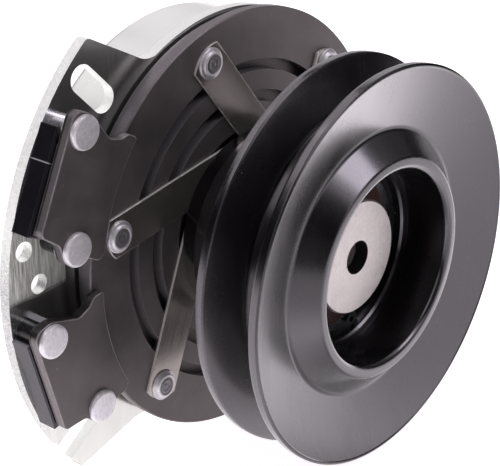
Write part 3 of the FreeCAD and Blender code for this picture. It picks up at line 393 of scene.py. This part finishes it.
def rivet_steel():
    """rr is the distance from the rivet's own axis; it is 0 all over a plain head."""
    mat = Graph("rivet_steel")
    radius = mat.attribute("rr")
    waver = mat.noise(500.0, detail=2.0) * 0.00030
    rings = mat.math("SINE", (radius + waver) * 9500.0)
    ringed = mat.fade(radius, 0.00001, 0.00005)
    inside = mat.fade(radius, 0.0031, 0.0035, first=1.0, last=0.0) * ringed
    mottle = mat.noise(900.0, detail=4.0, rough=0.7)
    cloud = mat.noise(260.0, rough=0.6)
    base = mat.tone(mottle, 0.35, 0.7, (0.72, 0.695, 0.72), (0.96, 0.93, 0.96))
    # dark turned centre, then a greyer ledge round it
    dark = inside * mat.fade(rings, -1.0, 1.0, first=0.70, last=0.98)
    base = mat.mix(dark, base, (0.085, 0.080, 0.086))
    ledge = (ringed * mat.fade(radius, 0.0040, 0.0045)
             * mat.fade(radius, 0.0052, 0.0054, first=1.0, last=0.0))
    base = mat.mix(ledge * 0.35, base, (0.25, 0.24, 0.25))
    base = mat.tone(cloud, 0.58, 0.75, base, (0.46, 0.45, 0.47), amount=0.35)
    relief = mat.bump(mottle, strength=0.20, distance=0.00006)
    relief = mat.bump(rings * inside, strength=0.25, distance=0.00005, over=relief)
    mat.set(Base_Color=base, Metallic=0.55, Specular_IOR_Level=0.8, Normal=relief,
            Roughness=mat.fade(cloud, 0.3, 0.7, first=0.34, last=0.50))


def strap_steel():
    """Brushed along each strap, by its along and across attributes."""
    mat = Graph("strap_steel")
    grain_at = mat.combine(mat.attribute("along") * 40.0, mat.attribute("across") * 2600.0)
    lines = mat.noise(1.0, rough=0.65, at=grain_at)
    cloud = mat.noise(80.0, detail=4.0, rough=0.6)
    base = mat.tone(lines, 0.35, 0.65, (0.385, 0.350, 0.325), (0.455, 0.413, 0.385))
    base = mat.tone(cloud, 0.45, 0.72, base, (0.335, 0.312, 0.300), amount=0.4)
    # pale edges
    _, normal_y, _ = mat.split(mat.normal)
    side = mat.fade(abs(normal_y), 0.96, 0.60)
    base = mat.mix(side, base, (0.93, 0.89, 0.86))
    rough = mat.fade(lines, 0.3, 0.7, first=0.17, last=0.23) + side * 0.22
    mat.set(Base_Color=base, Metallic=mat.fade(side, 0.0, 1.0, first=0.86, last=0.55),
            Roughness=rough, Normal=mat.bump(lines, strength=0.04, distance=0.00002))


def hub_steel():
    mat = Graph("hub_steel")
    grit = mat.noise(1300.0, detail=4.0, rough=0.7)
    cloud = mat.noise(110.0, detail=4.0, rough=0.6)
    pits = (mat.step(mat.cells(420.0), 0.10, 0.16, before=1.0)
            * mat.step(mat.noise(130.0, detail=1.0), 0.58, 0.62, before=0.0))
    base = mat.tone(grit, 0.3, 0.7, (0.65, 0.602, 0.590), (0.81, 0.757, 0.735))
    base = mat.tone(cloud, 0.5, 0.75, base, (0.54, 0.50, 0.49), amount=0.5)
    base = mat.mix(pits * 0.6, base, (0.28, 0.25, 0.24))
    # painted shade: almost black close to the axis, in the bore
    inner = mat.fade(mat.axis_radius(), 0.00580, 0.00592, first=1.0, last=0.0)
    base = mat.mix(inner, base, (0.012, 0.011, 0.011))
    lines = mat.noise(1.0, detail=2.0, rough=0.6, at=mat.stretch(1500.0, 300.0, 90.0, turn=0.9))
    rough = (mat.fade(grit, 0.3, 0.7, first=0.40, last=0.54)
             + mat.fade(lines, 0.3, 0.7, first=-0.05, last=0.05))
    relief = mat.bump(grit, strength=0.22, distance=0.00006)
    relief = mat.bump(lines, strength=0.06, distance=0.00004, over=relief)
    mat.set(Base_Color=base, Metallic=0.85 - inner * 0.6, Roughness=rough, Normal=relief)


def bearing_steel():
    mat = Graph("bearing_steel")
    rings = mat.noise(1.0, detail=2.0, rough=0.6, at=mat.combine(mat.axis_radius() * 7000.0))
    mat.set(Base_Color=mat.tone(rings, 0.3, 0.7, (0.50, 0.50, 0.51), (0.66, 0.66, 0.67)),
            Metallic=1.0, Roughness=mat.fade(mat.noise(300.0), 0.3, 0.7, first=0.16, last=0.28),
            Normal=mat.bump(rings, strength=0.10, distance=0.00003))


def copper_wire():
    mat = Graph("copper_wire")
    wire_pitch = 0.0008
    _, y, _ = mat.split(mat.coord)
    turns = mat.math("SINE", y * (2 * math.pi / wire_pitch))
    mat.set(Base_Color=mat.tone(turns, -1.0, 1.0, (0.24, 0.085, 0.035), (0.55, 0.24, 0.11)),
            Metallic=0.8, Roughness=mat.fade(mat.noise(200.0), 0.3, 0.7, first=0.24, last=0.36),
            Normal=mat.bump(turns, strength=0.6, distance=0.0002))


def black_magnet():
    mat = Graph("black_magnet")
    grain = mat.noise(700.0, detail=4.0, rough=0.65)
    cloud = mat.noise(60.0, detail=4.0, rough=0.6)
    base = mat.tone(cloud, 0.35, 0.7, (0.0085, 0.0082, 0.0110), (0.0145, 0.0138, 0.0180))
    base = mat.dust(base, (0.35, 0.34, 0.34), scale=300.0, size=0.05)
    base = mat.mix(mat.edge_band(0.0004) * 0.45, base, (0.16, 0.155, 0.17))
    # a pale groove along the first pole's direction, offset to one side of it
    offset = 0.0060
    x, _, z = mat.split(mat.coord)
    turn = math.radians(POLE_TURNS[0])
    across = x * -math.sin(turn) + z * math.cos(turn)
    gap = abs(across + offset)
    line = mat.fade(gap, 0.00010, 0.00022, first=1.0, last=0.0) * mat.fade(z, 0.010, 0.012)
    base = mat.mix(line, base, (0.42, 0.41, 0.44))
    relief = mat.bump(grain, strength=0.12, distance=0.00005)
    relief = mat.bump(mat.fade(gap, 0.0, 0.0004), strength=0.5, distance=0.0002, over=relief)
    mat.set(Base_Color=base, Roughness=mat.fade(cloud, 0.3, 0.7, first=0.20, last=0.32),
            Specular_IOR_Level=0.5, Specular_Tint=(1.0, 0.90, 1.05), Normal=relief)


def black_sleeve():
    """Black, painted as bright lit steel above z = 30 mm."""
    mat = Graph("black_sleeve")
    _, _, z = mat.split(mat.coord)
    grain = mat.noise(900.0, detail=4.0, rough=0.65)
    lay = mat.noise(1.0, rough=0.6, at=mat.stretch(300.0, 5200.0, 300.0))
    black = mat.tone(grain, 0.35, 0.7, (0.012, 0.012, 0.013), (0.032, 0.031, 0.033))
    # painted light: above z = 30 mm the sleeves get a bright steel colour and more metal
    lit_upper_colour = mat.tone(lay, 0.35, 0.65, (0.52, 0.50, 0.55), (0.80, 0.78, 0.84))
    lit_upper = mat.fade(z, 0.030, 0.031)
    base = mat.mix(mat.edge_band(0.0004) * 0.6, mat.mix(lit_upper, black, lit_upper_colour), (0.30, 0.295, 0.31))
    relief = mat.bump(grain, strength=0.12, distance=0.00006)
    relief = mat.bump(lay, strength=0.12, distance=0.00005, over=relief)
    mat.set(Base_Color=base, Metallic=mat.fade(lit_upper, 0.0, 1.0, first=0.4, last=0.65),
            Roughness=mat.fade(grain, 0.3, 0.7, first=0.22, last=0.34), Normal=relief)


def grainy(name, dark, light, rough, grain, bump, metallic=0.0, lay=None, worn=None,
           dusty=False):
    """A two-tone grainy finish.

    grain is the noise scale, lay the stretch of the tool lines and worn the edge colour.
    """
    mat = Graph(name)
    speckle = mat.noise(grain, detail=4.0, rough=0.65)
    cloud = mat.noise(grain * 0.07, detail=4.0, rough=0.6)
    highlight = tuple(min(1.0, level * 1.8 + 0.01) for level in light)
    base = mat.tone(cloud, 0.35, 0.7, dark, light)
    base = mat.tone(speckle, 0.55, 0.8, base, highlight, amount=0.3)
    if worn:
        base = mat.mix(mat.edge_band(0.0004) * 0.6, base, worn)
    if dusty:
        base = mat.dust(base, (0.35, 0.34, 0.33), scale=300.0, size=0.05)
    relief = mat.bump(speckle, strength=bump, distance=0.00006)
    if lay:
        lines = mat.noise(1.0, rough=0.6, at=mat.stretch(*lay))
        relief = mat.bump(lines, strength=0.12, distance=0.00005, over=relief)
    mat.set(Base_Color=base, Metallic=metallic, Normal=relief,
            Roughness=mat.fade(cloud, 0.3, 0.7, first=rough - 0.06, last=rough + 0.06))


gloss_black_paint()
phosphated_steel()
zinc_plate()
rivet_steel()
strap_steel()
hub_steel()
bearing_steel()
copper_wire()
black_magnet()
grainy("turned_steel", (0.40, 0.40, 0.41), (0.52, 0.52, 0.53), rough=0.34, grain=700.0,
       bump=0.08, metallic=1.0, lay=(200.0, 5200.0, 200.0))
grainy("moulded_black", (0.014, 0.014, 0.015), (0.024, 0.024, 0.025), rough=0.46,
       grain=1700.0, bump=0.25, dusty=True)
grainy("coil_tape", (0.42, 0.34, 0.18), (0.56, 0.47, 0.28), rough=0.5, grain=600.0,
       bump=0.2, lay=(60.0, 900.0, 60.0))
grainy("potting_resin", (0.016, 0.015, 0.014), (0.028, 0.026, 0.024), rough=0.3,
       grain=240.0, bump=0.3)
grainy("seal_rubber", (0.062, 0.026, 0.019), (0.100, 0.044, 0.032), rough=0.46,
       grain=1100.0, bump=0.18)
grainy("spring_steel_ring", (0.035, 0.035, 0.038), (0.070, 0.070, 0.075), rough=0.30,
       grain=1200.0, bump=0.12, metallic=0.7, worn=(0.35, 0.35, 0.36))
black_sleeve()
grainy("grommet_rubber", (0.012, 0.012, 0.012), (0.022, 0.022, 0.022), rough=0.6,
       grain=900.0, bump=0.2)
grainy("lead_insulation", (0.02, 0.02, 0.02), (0.035, 0.033, 0.032), rough=0.42,
       grain=600.0, bump=0.1)
grainy("cage_polymer", (0.13, 0.10, 0.06), (0.19, 0.15, 0.10), rough=0.45,
       grain=900.0, bump=0.12)

slot_of = {part["node"]: part["material_slot"] for part in frame["record"]["subparts"]}
for node_name, cad_piece in frame["nodes"].items():
    cad_piece.data.materials.clear()
    cad_piece.data.materials.append(MATERIALS[slot_of[node_name]])


# ------------------------------------------------------------------ mesh helpers
def add_piece(name, mesh, slot, body=None, replaced=None):
    piece = bpy.data.objects.new(name, mesh)
    scene.collection.objects.link(piece)
    mesh.materials.append(MATERIALS[slot])
    if body:
        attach(piece, body)
    if replaced:
        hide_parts(replaced)
    return piece


@contextmanager
def editing(mesh):
    """Opens a mesh as a bmesh and writes it back."""
    bm = bmesh.new()
    bm.from_mesh(mesh)
    yield bm
    bm.to_mesh(mesh)
    bm.free()


def sharpen(mesh, angle):
    """Smooth shading, with edges sharper than angle degrees kept sharp."""
    limit = math.radians(angle)
    with editing(mesh) as bm:
        for face in bm.faces:
            face.smooth = True
        for edge in bm.edges:
            edge.smooth = len(edge.link_faces) == 2 and edge.calc_face_angle(3.14) < limit


def set_attribute(mesh, name, values):
    attribute = mesh.attributes.get(name) or mesh.attributes.new(name, "FLOAT", "POINT")
    attribute.data.foreach_set("value", values)


def turned(along, across, degrees):
    """(x, z) of a point given along and across a direction about the clutch axis."""
    angle = math.radians(degrees)
    return (along * math.cos(angle) - across * math.sin(angle),
            along * math.sin(angle) + across * math.cos(angle))


def round_corners(points, step):
    """A closed line of (x, y[, corner radius]) with arcs at its corners, a point per step degrees."""
    line = []
    for i, (x, y, *corner) in enumerate(points):
        here = Vector((x, y))
        back = Vector(points[i - 1][:2]) - here
        ahead = Vector(points[(i + 1) % len(points)][:2]) - here
        back_length, ahead_length = back.length, ahead.length
        back, ahead = back / back_length, ahead / ahead_length
        half = math.acos(max(-1.0, min(1.0, back.dot(ahead)))) / 2.0
        if not corner or corner[0] <= 0 or half > math.radians(89.0):
            line.append(here)
            continue
        # the arc may take up almost half of either side
        reach = min(corner[0] / math.tan(half), 0.498 * back_length, 0.498 * ahead_length)
        radius = reach * math.tan(half)
        centre = here + (back + ahead).normalized() * (radius / math.sin(half))
        spoke = here + back * reach - centre
        last = here + ahead * reach - centre
        sweep = math.pi - 2 * half
        if spoke.x * last.y - spoke.y * last.x <= 0:
            sweep = -sweep
        count = max(2, int(math.degrees(abs(sweep)) / step) + 1)
        for j in range(count + 1):
            angle = sweep * j / count
            cos, sin = math.cos(angle), math.sin(angle)
            line.append(centre + Vector((spoke.x * cos - spoke.y * sin,
                                         spoke.x * sin + spoke.y * cos)))
    return line


# ------------------------------------------------------------------ belt pulley
# Closed sections: (radius, distance ahead of the front rim's plane, corner radius).
FRONT_FACE = [
    (67.8, -2.6, 0.5), (67.78, -0.55, 0.35), (67.1, -0.12, 0.25), (66.75, -0.12, 0.2),
    (66.45, -0.40, 0.2), (45.3, -6.95, 2.2), (37.4, 0.7, 1.8), (33.2, 0.7, 3.2),
    (33.2, -17.0, 0.3), (36.15, -17.0, 0.3), (36.15, -2.15, 0.7), (43.7, -9.95, 4.4),
    (67.2, -3.6, 0.8), (67.7, -3.3, 0.4),
]
REAR_FACE = [
    (67.25, -23.6, 0.3), (67.15, -22.45, 0.35), (66.6, -22.1, 0.3), (54.2, -16.95, 1.8),
    (51.2, -16.85, 0.0), (36.2, -19.3, 0.0), (36.2, -22.2, 0.6), (51.4, -20.1, 3.0),
    (65.9, -25.35, 0.9), (67.2, -25.05, 0.4),
]
PULLEY_SEGMENTS = 288


def pulley_face(name, section, replaced, step):
    """A section turned about the clutch axis."""
    line = round_corners([(radius, FRONT_RIM_Y - ahead, corner)
                          for radius, ahead, corner in section], step)
    count = len(line)
    verts, faces = [], []
    for i in range(PULLEY_SEGMENTS):
        angle = 2 * math.pi * i / PULLEY_SEGMENTS
        cos, sin = math.cos(angle), math.sin(angle)
        verts += [(p.x * MM * cos, p.y * MM, p.x * MM * sin) for p in line]
        this, other = i * count, (i + 1) % PULLEY_SEGMENTS * count
        for j in range(count):
            k = (j + 1) % count
            faces.append((this + j, this + k, other + k, other + j))
    mesh = bpy.data.meshes.new(name)
    mesh.from_pydata(verts, [], faces)
    with editing(mesh) as bm:
        bmesh.ops.recalc_face_normals(bm, faces=bm.faces)
    sharpen(mesh, 32.0)
    add_piece(name, mesh, "gloss_black_paint", "pulley", replaced)


pulley_face("pulley_front_face", FRONT_FACE, "pulley_front_flange", step=5.0)
pulley_face("pulley_rear_face", REAR_FACE, "pulley_rear_flange", step=6.0)

# ------------------------------------------------------------------ leaf straps
# Each strap is drawn along X, then turned about the clutch axis.
STRAP_OFFSET = 24.5          # centre line's distance from the axis
STRAP_HALF_WIDTH = 14.0 / 2
STRAP_BACK_Y = -39.8
STRAP_FRONT_Y = -40.8
STRAP_MID_Y = (STRAP_BACK_Y + STRAP_FRONT_Y) / 2.0
STRAP_BEVEL = 0.16
STRAP_TURN = RIVET_ANGLE + 202.4
# where each rounded end begins, and its tip
OUTER_END, OUTER_TIP = -62.0, -64.4
INNER_END, INNER_TIP = 0.1, 2.6
# rivet holes
OUTER_HOLE = -math.sqrt(RIVET_CIRCLE ** 2 - STRAP_OFFSET ** 2)
INNER_HOLE = -2.4
OUTER_HOLE_RADIUS, INNER_HOLE_RADIUS = 3.15, 2.45


def strap_end(root, tip, steps=14):
    """The arc across an end, from low to high z at the inner end and back at the outer."""
    side = math.copysign(1.0, tip - root)
    rise = abs(tip - root)
    radius = (STRAP_HALF_WIDTH ** 2 + rise ** 2) / (2 * rise)
    half = math.asin(STRAP_HALF_WIDTH / radius)
    centre = tip - side * radius
    angles = [half * (2 * i / steps - 1) for i in range(steps + 1)]
    return [(centre + side * radius * math.cos(angle),
             STRAP_OFFSET + side * radius * math.sin(angle)) for angle in angles]


def hole(along, radius, count):
    angles = [math.radians(360.0 * i / count) for i in range(count)]
    return [(along + radius * math.cos(angle), STRAP_OFFSET + radius * math.sin(angle))
            for angle in angles]


def plate_mesh(name, loops):
    """A strap-thick plate with rounded edges, from its outline and holes in (x, z)."""
    curve = bpy.data.curves.new(name + "_outline", "CURVE")
    curve.dimensions = "2D"
    curve.fill_mode = "BOTH"
    for loop in loops:
        spline = curve.splines.new("POLY")
        spline.points.add(len(loop) - 1)
        for point, (x, z) in zip(spline.points, loop):
            point.co = (x * MM, z * MM, 0.0, 1.0)
        spline.use_cyclic_u = True
    curve.extrude = (STRAP_BACK_Y - STRAP_FRONT_Y) * MM / 2.0 - STRAP_BEVEL * MM
    curve.bevel_depth = STRAP_BEVEL * MM
    curve.bevel_resolution = 2
    curve.offset = -STRAP_BEVEL * MM
    drawing = bpy.data.objects.new(name + "_drawing", curve)
    scene.collection.objects.link(drawing)
    bpy.context.view_layer.update()
    depsgraph = bpy.context.evaluated_depsgraph_get()
    mesh = bpy.data.meshes.new_from_object(drawing.evaluated_get(depsgraph))
    bpy.data.objects.remove(drawing)
    bpy.data.curves.remove(curve)
    mesh.name = name
    mesh.transform(Matrix.Translation((0, STRAP_MID_Y * MM, 0))
                   @ Matrix.Rotation(math.pi / 2, 4, "X"))
    with editing(mesh) as bm:
        bmesh.ops.remove_doubles(bm, verts=bm.verts, dist=1e-6)
        bmesh.ops.recalc_face_normals(bm, faces=bm.faces)
    return mesh


def strap_mesh(name, turn):
    low, high = STRAP_OFFSET - STRAP_HALF_WIDTH, STRAP_OFFSET + STRAP_HALF_WIDTH
    outline = [(OUTER_END + i, low) for i in range(61)]
    outline += strap_end(INNER_END, INNER_TIP)
    outline += [(-1.0 * i, high) for i in range(1, 62)]
    outline += strap_end(OUTER_END, OUTER_TIP)[:-1]
    mesh = plate_mesh(name, [outline, hole(OUTER_HOLE, OUTER_HOLE_RADIUS, 40),
                             hole(INNER_HOLE, INNER_HOLE_RADIUS, 36)])
    # cuts across the strap every 5 mm
    with editing(mesh) as bm:
        for x in range(-55, 0, 5):
            bmesh.ops.bisect_plane(bm, geom=bm.verts[:] + bm.edges[:] + bm.faces[:],
                                   plane_co=(x * MM, 0, 0), plane_no=(1, 0, 0), dist=1e-7)
    sharpen(mesh, 30.0)
    set_attribute(mesh, "along", [v.co.x for v in mesh.vertices])
    set_attribute(mesh, "across", [v.co.z for v in mesh.vertices])
    mesh.transform(Matrix.Rotation(-math.radians(turn), 4, "Y"))
    return mesh


for i in range(6):
    turn = STRAP_TURN + PITCH * i
    name = "strap_spring_%d" % (i + 1)
    strap = add_piece(name, strap_mesh(name, turn), "strap_steel")
    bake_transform(strap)
    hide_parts("leaf_strap_%d" % (i + 1))

# ------------------------------------------------------------------ rivets
# Half sections from the tip's centre to the tail's centre:
# (radius, distance ahead of the seat[, corner radius]).
ARMATURE_RIVET = [
    (0.0, 1.62), (0.5, 1.62, 0.1), (0.8, 1.50, 0.1), (1.5, 1.50, 0.1), (1.75, 1.60, 0.1),
    (2.3, 1.60, 0.1), (2.55, 1.50, 0.1), (3.15, 1.50, 0.1), (3.45, 1.72, 0.2),
    (3.95, 1.70, 0.35), (4.45, 1.05, 0.5), (5.15, 0.78, 0.35), (5.4, 0.45, 0.25),
    (5.4, 0.0, 0.1), (3.1, 0.0), (3.1, -4.6, 0.3), (0.0, -4.6),
]
POLE_RIVET = [
    (0.0, 1.72), (2.0, 1.70, 1.0), (4.7, 1.72, 0.6), (5.35, 1.50, 0.4), (5.6, 0.95, 0.5),
    (5.6, 0.0, 0.15), (2.6, 0.0), (2.6, -16.35), (3.4, -16.35, 0.2), (3.4, -17.4, 0.6),
    (2.7, -18.0, 0.4), (0.0, -18.0),
]
INNER_RIVET = [
    (0.0, 2.0), (2.6, 1.9, 1.2), (4.2, 0.7, 1.0), (4.2, 0.0), (2.4, 0.0), (2.4, -4.6),
    (4.2, -4.6), (4.2, -5.3, 0.6), (2.8, -6.2, 0.8), (0.0, -6.2),
]
RIVET_SEGMENTS = 48
# (along, across) each pole's direction
POLE_RIVET_PLACES = ((94.0, -17.7), (83.7, 17.8))
POLE_SEAT_Y = -43.2
INNER_SEAT_Y = -44.4


def rivet_mesh(name, section, ringed=True):
    """A rivet turned about its own axis; rr carries its ring radius, or 0 if not ringed."""
    # closing the section behind the axis keeps its ends square
    closed = section + [(-1.0, section[-1][1]), (-1.0, section[0][1])]
    bm = bmesh.new()
    rings = []
    for point in round_corners(closed, 12.0):
        if point.x < -1e-6:
            continue
        if point.x < 1e-4:
            rings.append([bm.verts.new((0, -point.y * MM, 0))])
            continue
        angles = [2 * math.pi * i / RIVET_SEGMENTS for i in range(RIVET_SEGMENTS)]
        rings.append([bm.verts.new((point.x * MM * math.cos(angle), -point.y * MM,
                                    point.x * MM * math.sin(angle))) for angle in angles])
    for a, b in zip(rings, rings[1:]):
        for i in range(RIVET_SEGMENTS):
            j = (i + 1) % RIVET_SEGMENTS
            if len(a) == 1:
                bm.faces.new((a[0], b[i], b[j]))
            elif len(b) == 1:
                bm.faces.new((a[i], b[0], a[j]))
            else:
                bm.faces.new((a[i], b[i], b[j], a[j]))
    bmesh.ops.recalc_face_normals(bm, faces=bm.faces)
    mesh = bpy.data.meshes.new(name)
    bm.to_mesh(mesh)
    bm.free()
    sharpen(mesh, 40.0)
    set_attribute(mesh, "rr", [math.hypot(v.co.x, v.co.z) if ringed else 0.0
                               for v in mesh.vertices])
    return mesh


def rivet_set(name, rivet, seat_y, places, body, replaced):
    """Copies of a rivet at places ((x, z), spin in degrees), joined into one piece."""
    radii = [item.value for item in rivet.attributes["rr"].data]
    bm = bmesh.new()
    for (x, z), spin in places:
        part = rivet.copy()
        part.transform(Matrix.Translation((x * MM, seat_y * MM, z * MM))
                       @ Matrix.Rotation(math.radians(spin), 4, "Y"))
        bm.from_mesh(part)
        bpy.data.meshes.remove(part)
    mesh = bpy.data.meshes.new(name)
    bm.to_mesh(mesh)
    bm.free()
    set_attribute(mesh, "rr", radii * len(places))
    add_piece(name, mesh, "rivet_steel", body, replaced)


rivet_set("armature_rivet_set", rivet_mesh("armature_rivet", ARMATURE_RIVET), STRAP_FRONT_Y,
          [(turned(RIVET_CIRCLE, 0.0, RIVET_ANGLE + PITCH * i), 37.0 * i) for i in range(6)],
          "armature", "armature_rivets")
rivet_set("pole_rivet_set", rivet_mesh("pole_rivet", POLE_RIVET, ringed=False), POLE_SEAT_Y,
          [(turned(along, across, turn), turn * 3.0)
           for turn in POLE_TURNS for along, across in POLE_RIVET_PLACES],
          "field", "pole_rivets")
rivet_set("strap_rivet_inner_set", rivet_mesh("strap_rivet_inner", INNER_RIVET), INNER_SEAT_Y,
          [(turned(INNER_HOLE, STRAP_OFFSET, STRAP_TURN + PITCH * i), 0.0) for i in range(6)],
          "pulley", "strap_rivets_inner")

# ------------------------------------------------------------------ floor
FLOOR_HALF = 7.0
FLOOR_GAP = 0.0004  # below the lowest point


def pale_floor():
    """Plain to the camera; the light it throws on the clutch varies from place to place."""
    mat = Graph("pale_floor")
    base = mat.mix(mat.noise(3.0), (0.86, 0.86, 0.865), (0.90, 0.90, 0.90))
    x, y, _ = mat.split(mat.coord)
    # dimmer far ahead
    ahead = mat.fade(y, -0.26, -0.17, first=0.42)
    # brighter close by on the right
    right = (mat.fade(y, -0.20, -0.16)
             * (mat.fade(x, 0.10, 0.16) * mat.fade(x, 0.80, 0.50)))
    # painted shadow in the floor's light: dark round one spot ahead of the clutch, where the clutch's
    # own shadow falls
    spot_distance = mat.distance(x + 0.012, y + 0.142)
    under = mat.fade(spot_distance, 0.025, 0.060, first=0.12)
    # dimmer ahead on the left
    left = 1.0 + mat.fade(x, -0.02, -0.12, last=-0.40) * mat.fade(y, -0.15, -0.22)
    sweep = ahead * left * (under * (1.0 + right * 1.0))
    seen = mat.out("LightPath", "Is Camera Ray")
    plain = seen * (1.0 - sweep) + sweep
    mat.set(Base_Color=base, Roughness=0.75, Specular_IOR_Level=0.2,
            Emission_Color=(1.05, 1.0, 1.05), Emission_Strength=plain * 0.88)
    return mat.material


lowest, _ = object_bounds()
floor_z = lowest.z - FLOOR_GAP
floor_mesh = bpy.data.meshes.new("floor")
floor_mesh.from_pydata([(x * FLOOR_HALF, y * FLOOR_HALF, floor_z)
                        for x, y in ((-1, -1), (1, -1), (1, 1), (-1, 1))], [], [(0, 1, 2, 3)])
floor = bpy.data.objects.new("floor", floor_mesh)
scene.collection.objects.link(floor)
floor_mesh.materials.append(pale_floor())

# ------------------------------------------------------------------ world
# White to the camera; it gives no light to the clutch.
world = bpy.data.worlds.new("studio")
scene.world = world
world.use_nodes = True
world_nodes, world_links = world.node_tree.nodes, world.node_tree.links
world_nodes.clear()
world_output = world_nodes.new("ShaderNodeOutputWorld")
background = world_nodes.new("ShaderNodeBackground")
light_path = world_nodes.new("ShaderNodeLightPath")
background.inputs["Color"].default_value = (1.0, 1.0, 1.0, 1.0)
world_links.new(light_path.outputs["Is Camera Ray"], background.inputs["Strength"])
world_links.new(background.outputs[0], world_output.inputs[0])

# ------------------------------------------------------------------ lights
# Soft panels on a dome; azimuth 0 is ahead of the clutch and -90 is its left side.
DOME_CENTRE = Vector((-0.01, -0.06, -0.07))
DOME_RADIUS = 2.5
# elevation, half height and half width in degrees, then (azimuth, radiance) of each panel
PANEL_RINGS = [
    (9, 9.0, 15.0, [(15, 0.24), (135, 0.55), (345, 0.05)]),
    (30, 12.0, 15.0, [(15, 0.90), (45, 0.12), (75, 0.10), (135, 0.80), (285, 0.75),
                      (315, 0.10)]),
    (55, 13.0, 22.5, [(22, 1.75), (68, 0.50), (158, 1.05), (202, 1.27), (248, 1.55),
                      (292, 1.05), (338, 0.05)]),
]


def outward(azimuth, elevation):
    """Unit vector at angles in radians."""
    return Vector((math.sin(azimuth) * math.cos(elevation),
                   -math.cos(azimuth) * math.cos(elevation), math.sin(elevation)))


def face_back(thing, direction):
    """Points a light or camera against the direction it stands in."""
    thing.rotation_mode = "QUATERNION"
    thing.rotation_quaternion = (-direction).to_track_quat("-Z", "Y")


def dome_span(half_angle):
    return 2 * DOME_RADIUS * math.tan(math.radians(half_angle))


def softbox(name, azimuth, elevation, width, height, radiance, colour=(1.05, 1.0, 1.05)):
    light = bpy.data.lights.new(name, "AREA")
    light.shape = "RECTANGLE"
    light.size = width
    light.size_y = height
    light.energy = math.pi * width * height * radiance
    light.color = colour
    direction = outward(math.radians(azimuth), math.radians(elevation))
    panel = bpy.data.objects.new(name, light)
    panel.location = DOME_CENTRE + direction * DOME_RADIUS
    face_back(panel, direction)
    panel.visible_camera = False
    scene.collection.objects.link(panel)


key_height = dome_span(8.0)
softbox("softbox_key", azimuth=26, elevation=46, width=1.3 * key_height, height=key_height,
        radiance=3.4, colour=(1.0, 0.965, 1.10))
panel_count = 0
for elevation, half_height, half_width, panels in PANEL_RINGS:
    width = dome_span(half_width) * math.cos(math.radians(elevation))
    for azimuth, radiance in panels:
        softbox("softbox_%02d" % panel_count, azimuth, elevation, width,
                dome_span(half_height), radiance)
        panel_count += 1
overhead = dome_span(22.0)
softbox("softbox_%02d" % panel_count, azimuth=180, elevation=90, width=overhead,
        height=overhead, radiance=0.20)

# ------------------------------------------------------------------ camera
# It stands ahead, to the left and above; the angles are in radians.
CAMERA_AZIMUTH = -0.868088950346054
CAMERA_ELEVATION = 0.4190170182780786

lens = bpy.data.cameras.new("camera")
lens.sensor_width = 36.0
lens.lens = 110.450664
lens.clip_start = 0.02
lens.clip_end = 60.0
camera = bpy.data.objects.new("camera", lens)
scene.collection.objects.link(camera)
camera.location = (-0.374398, -0.359293, 0.213987)
face_back(camera, outward(CAMERA_AZIMUTH, CAMERA_ELEVATION))
scene.camera = camera

scene.view_settings.view_transform = "Standard"
scene.view_settings.look = "None"
scene.view_settings.exposure = 0.0
scene.view_settings.gamma = 1.0
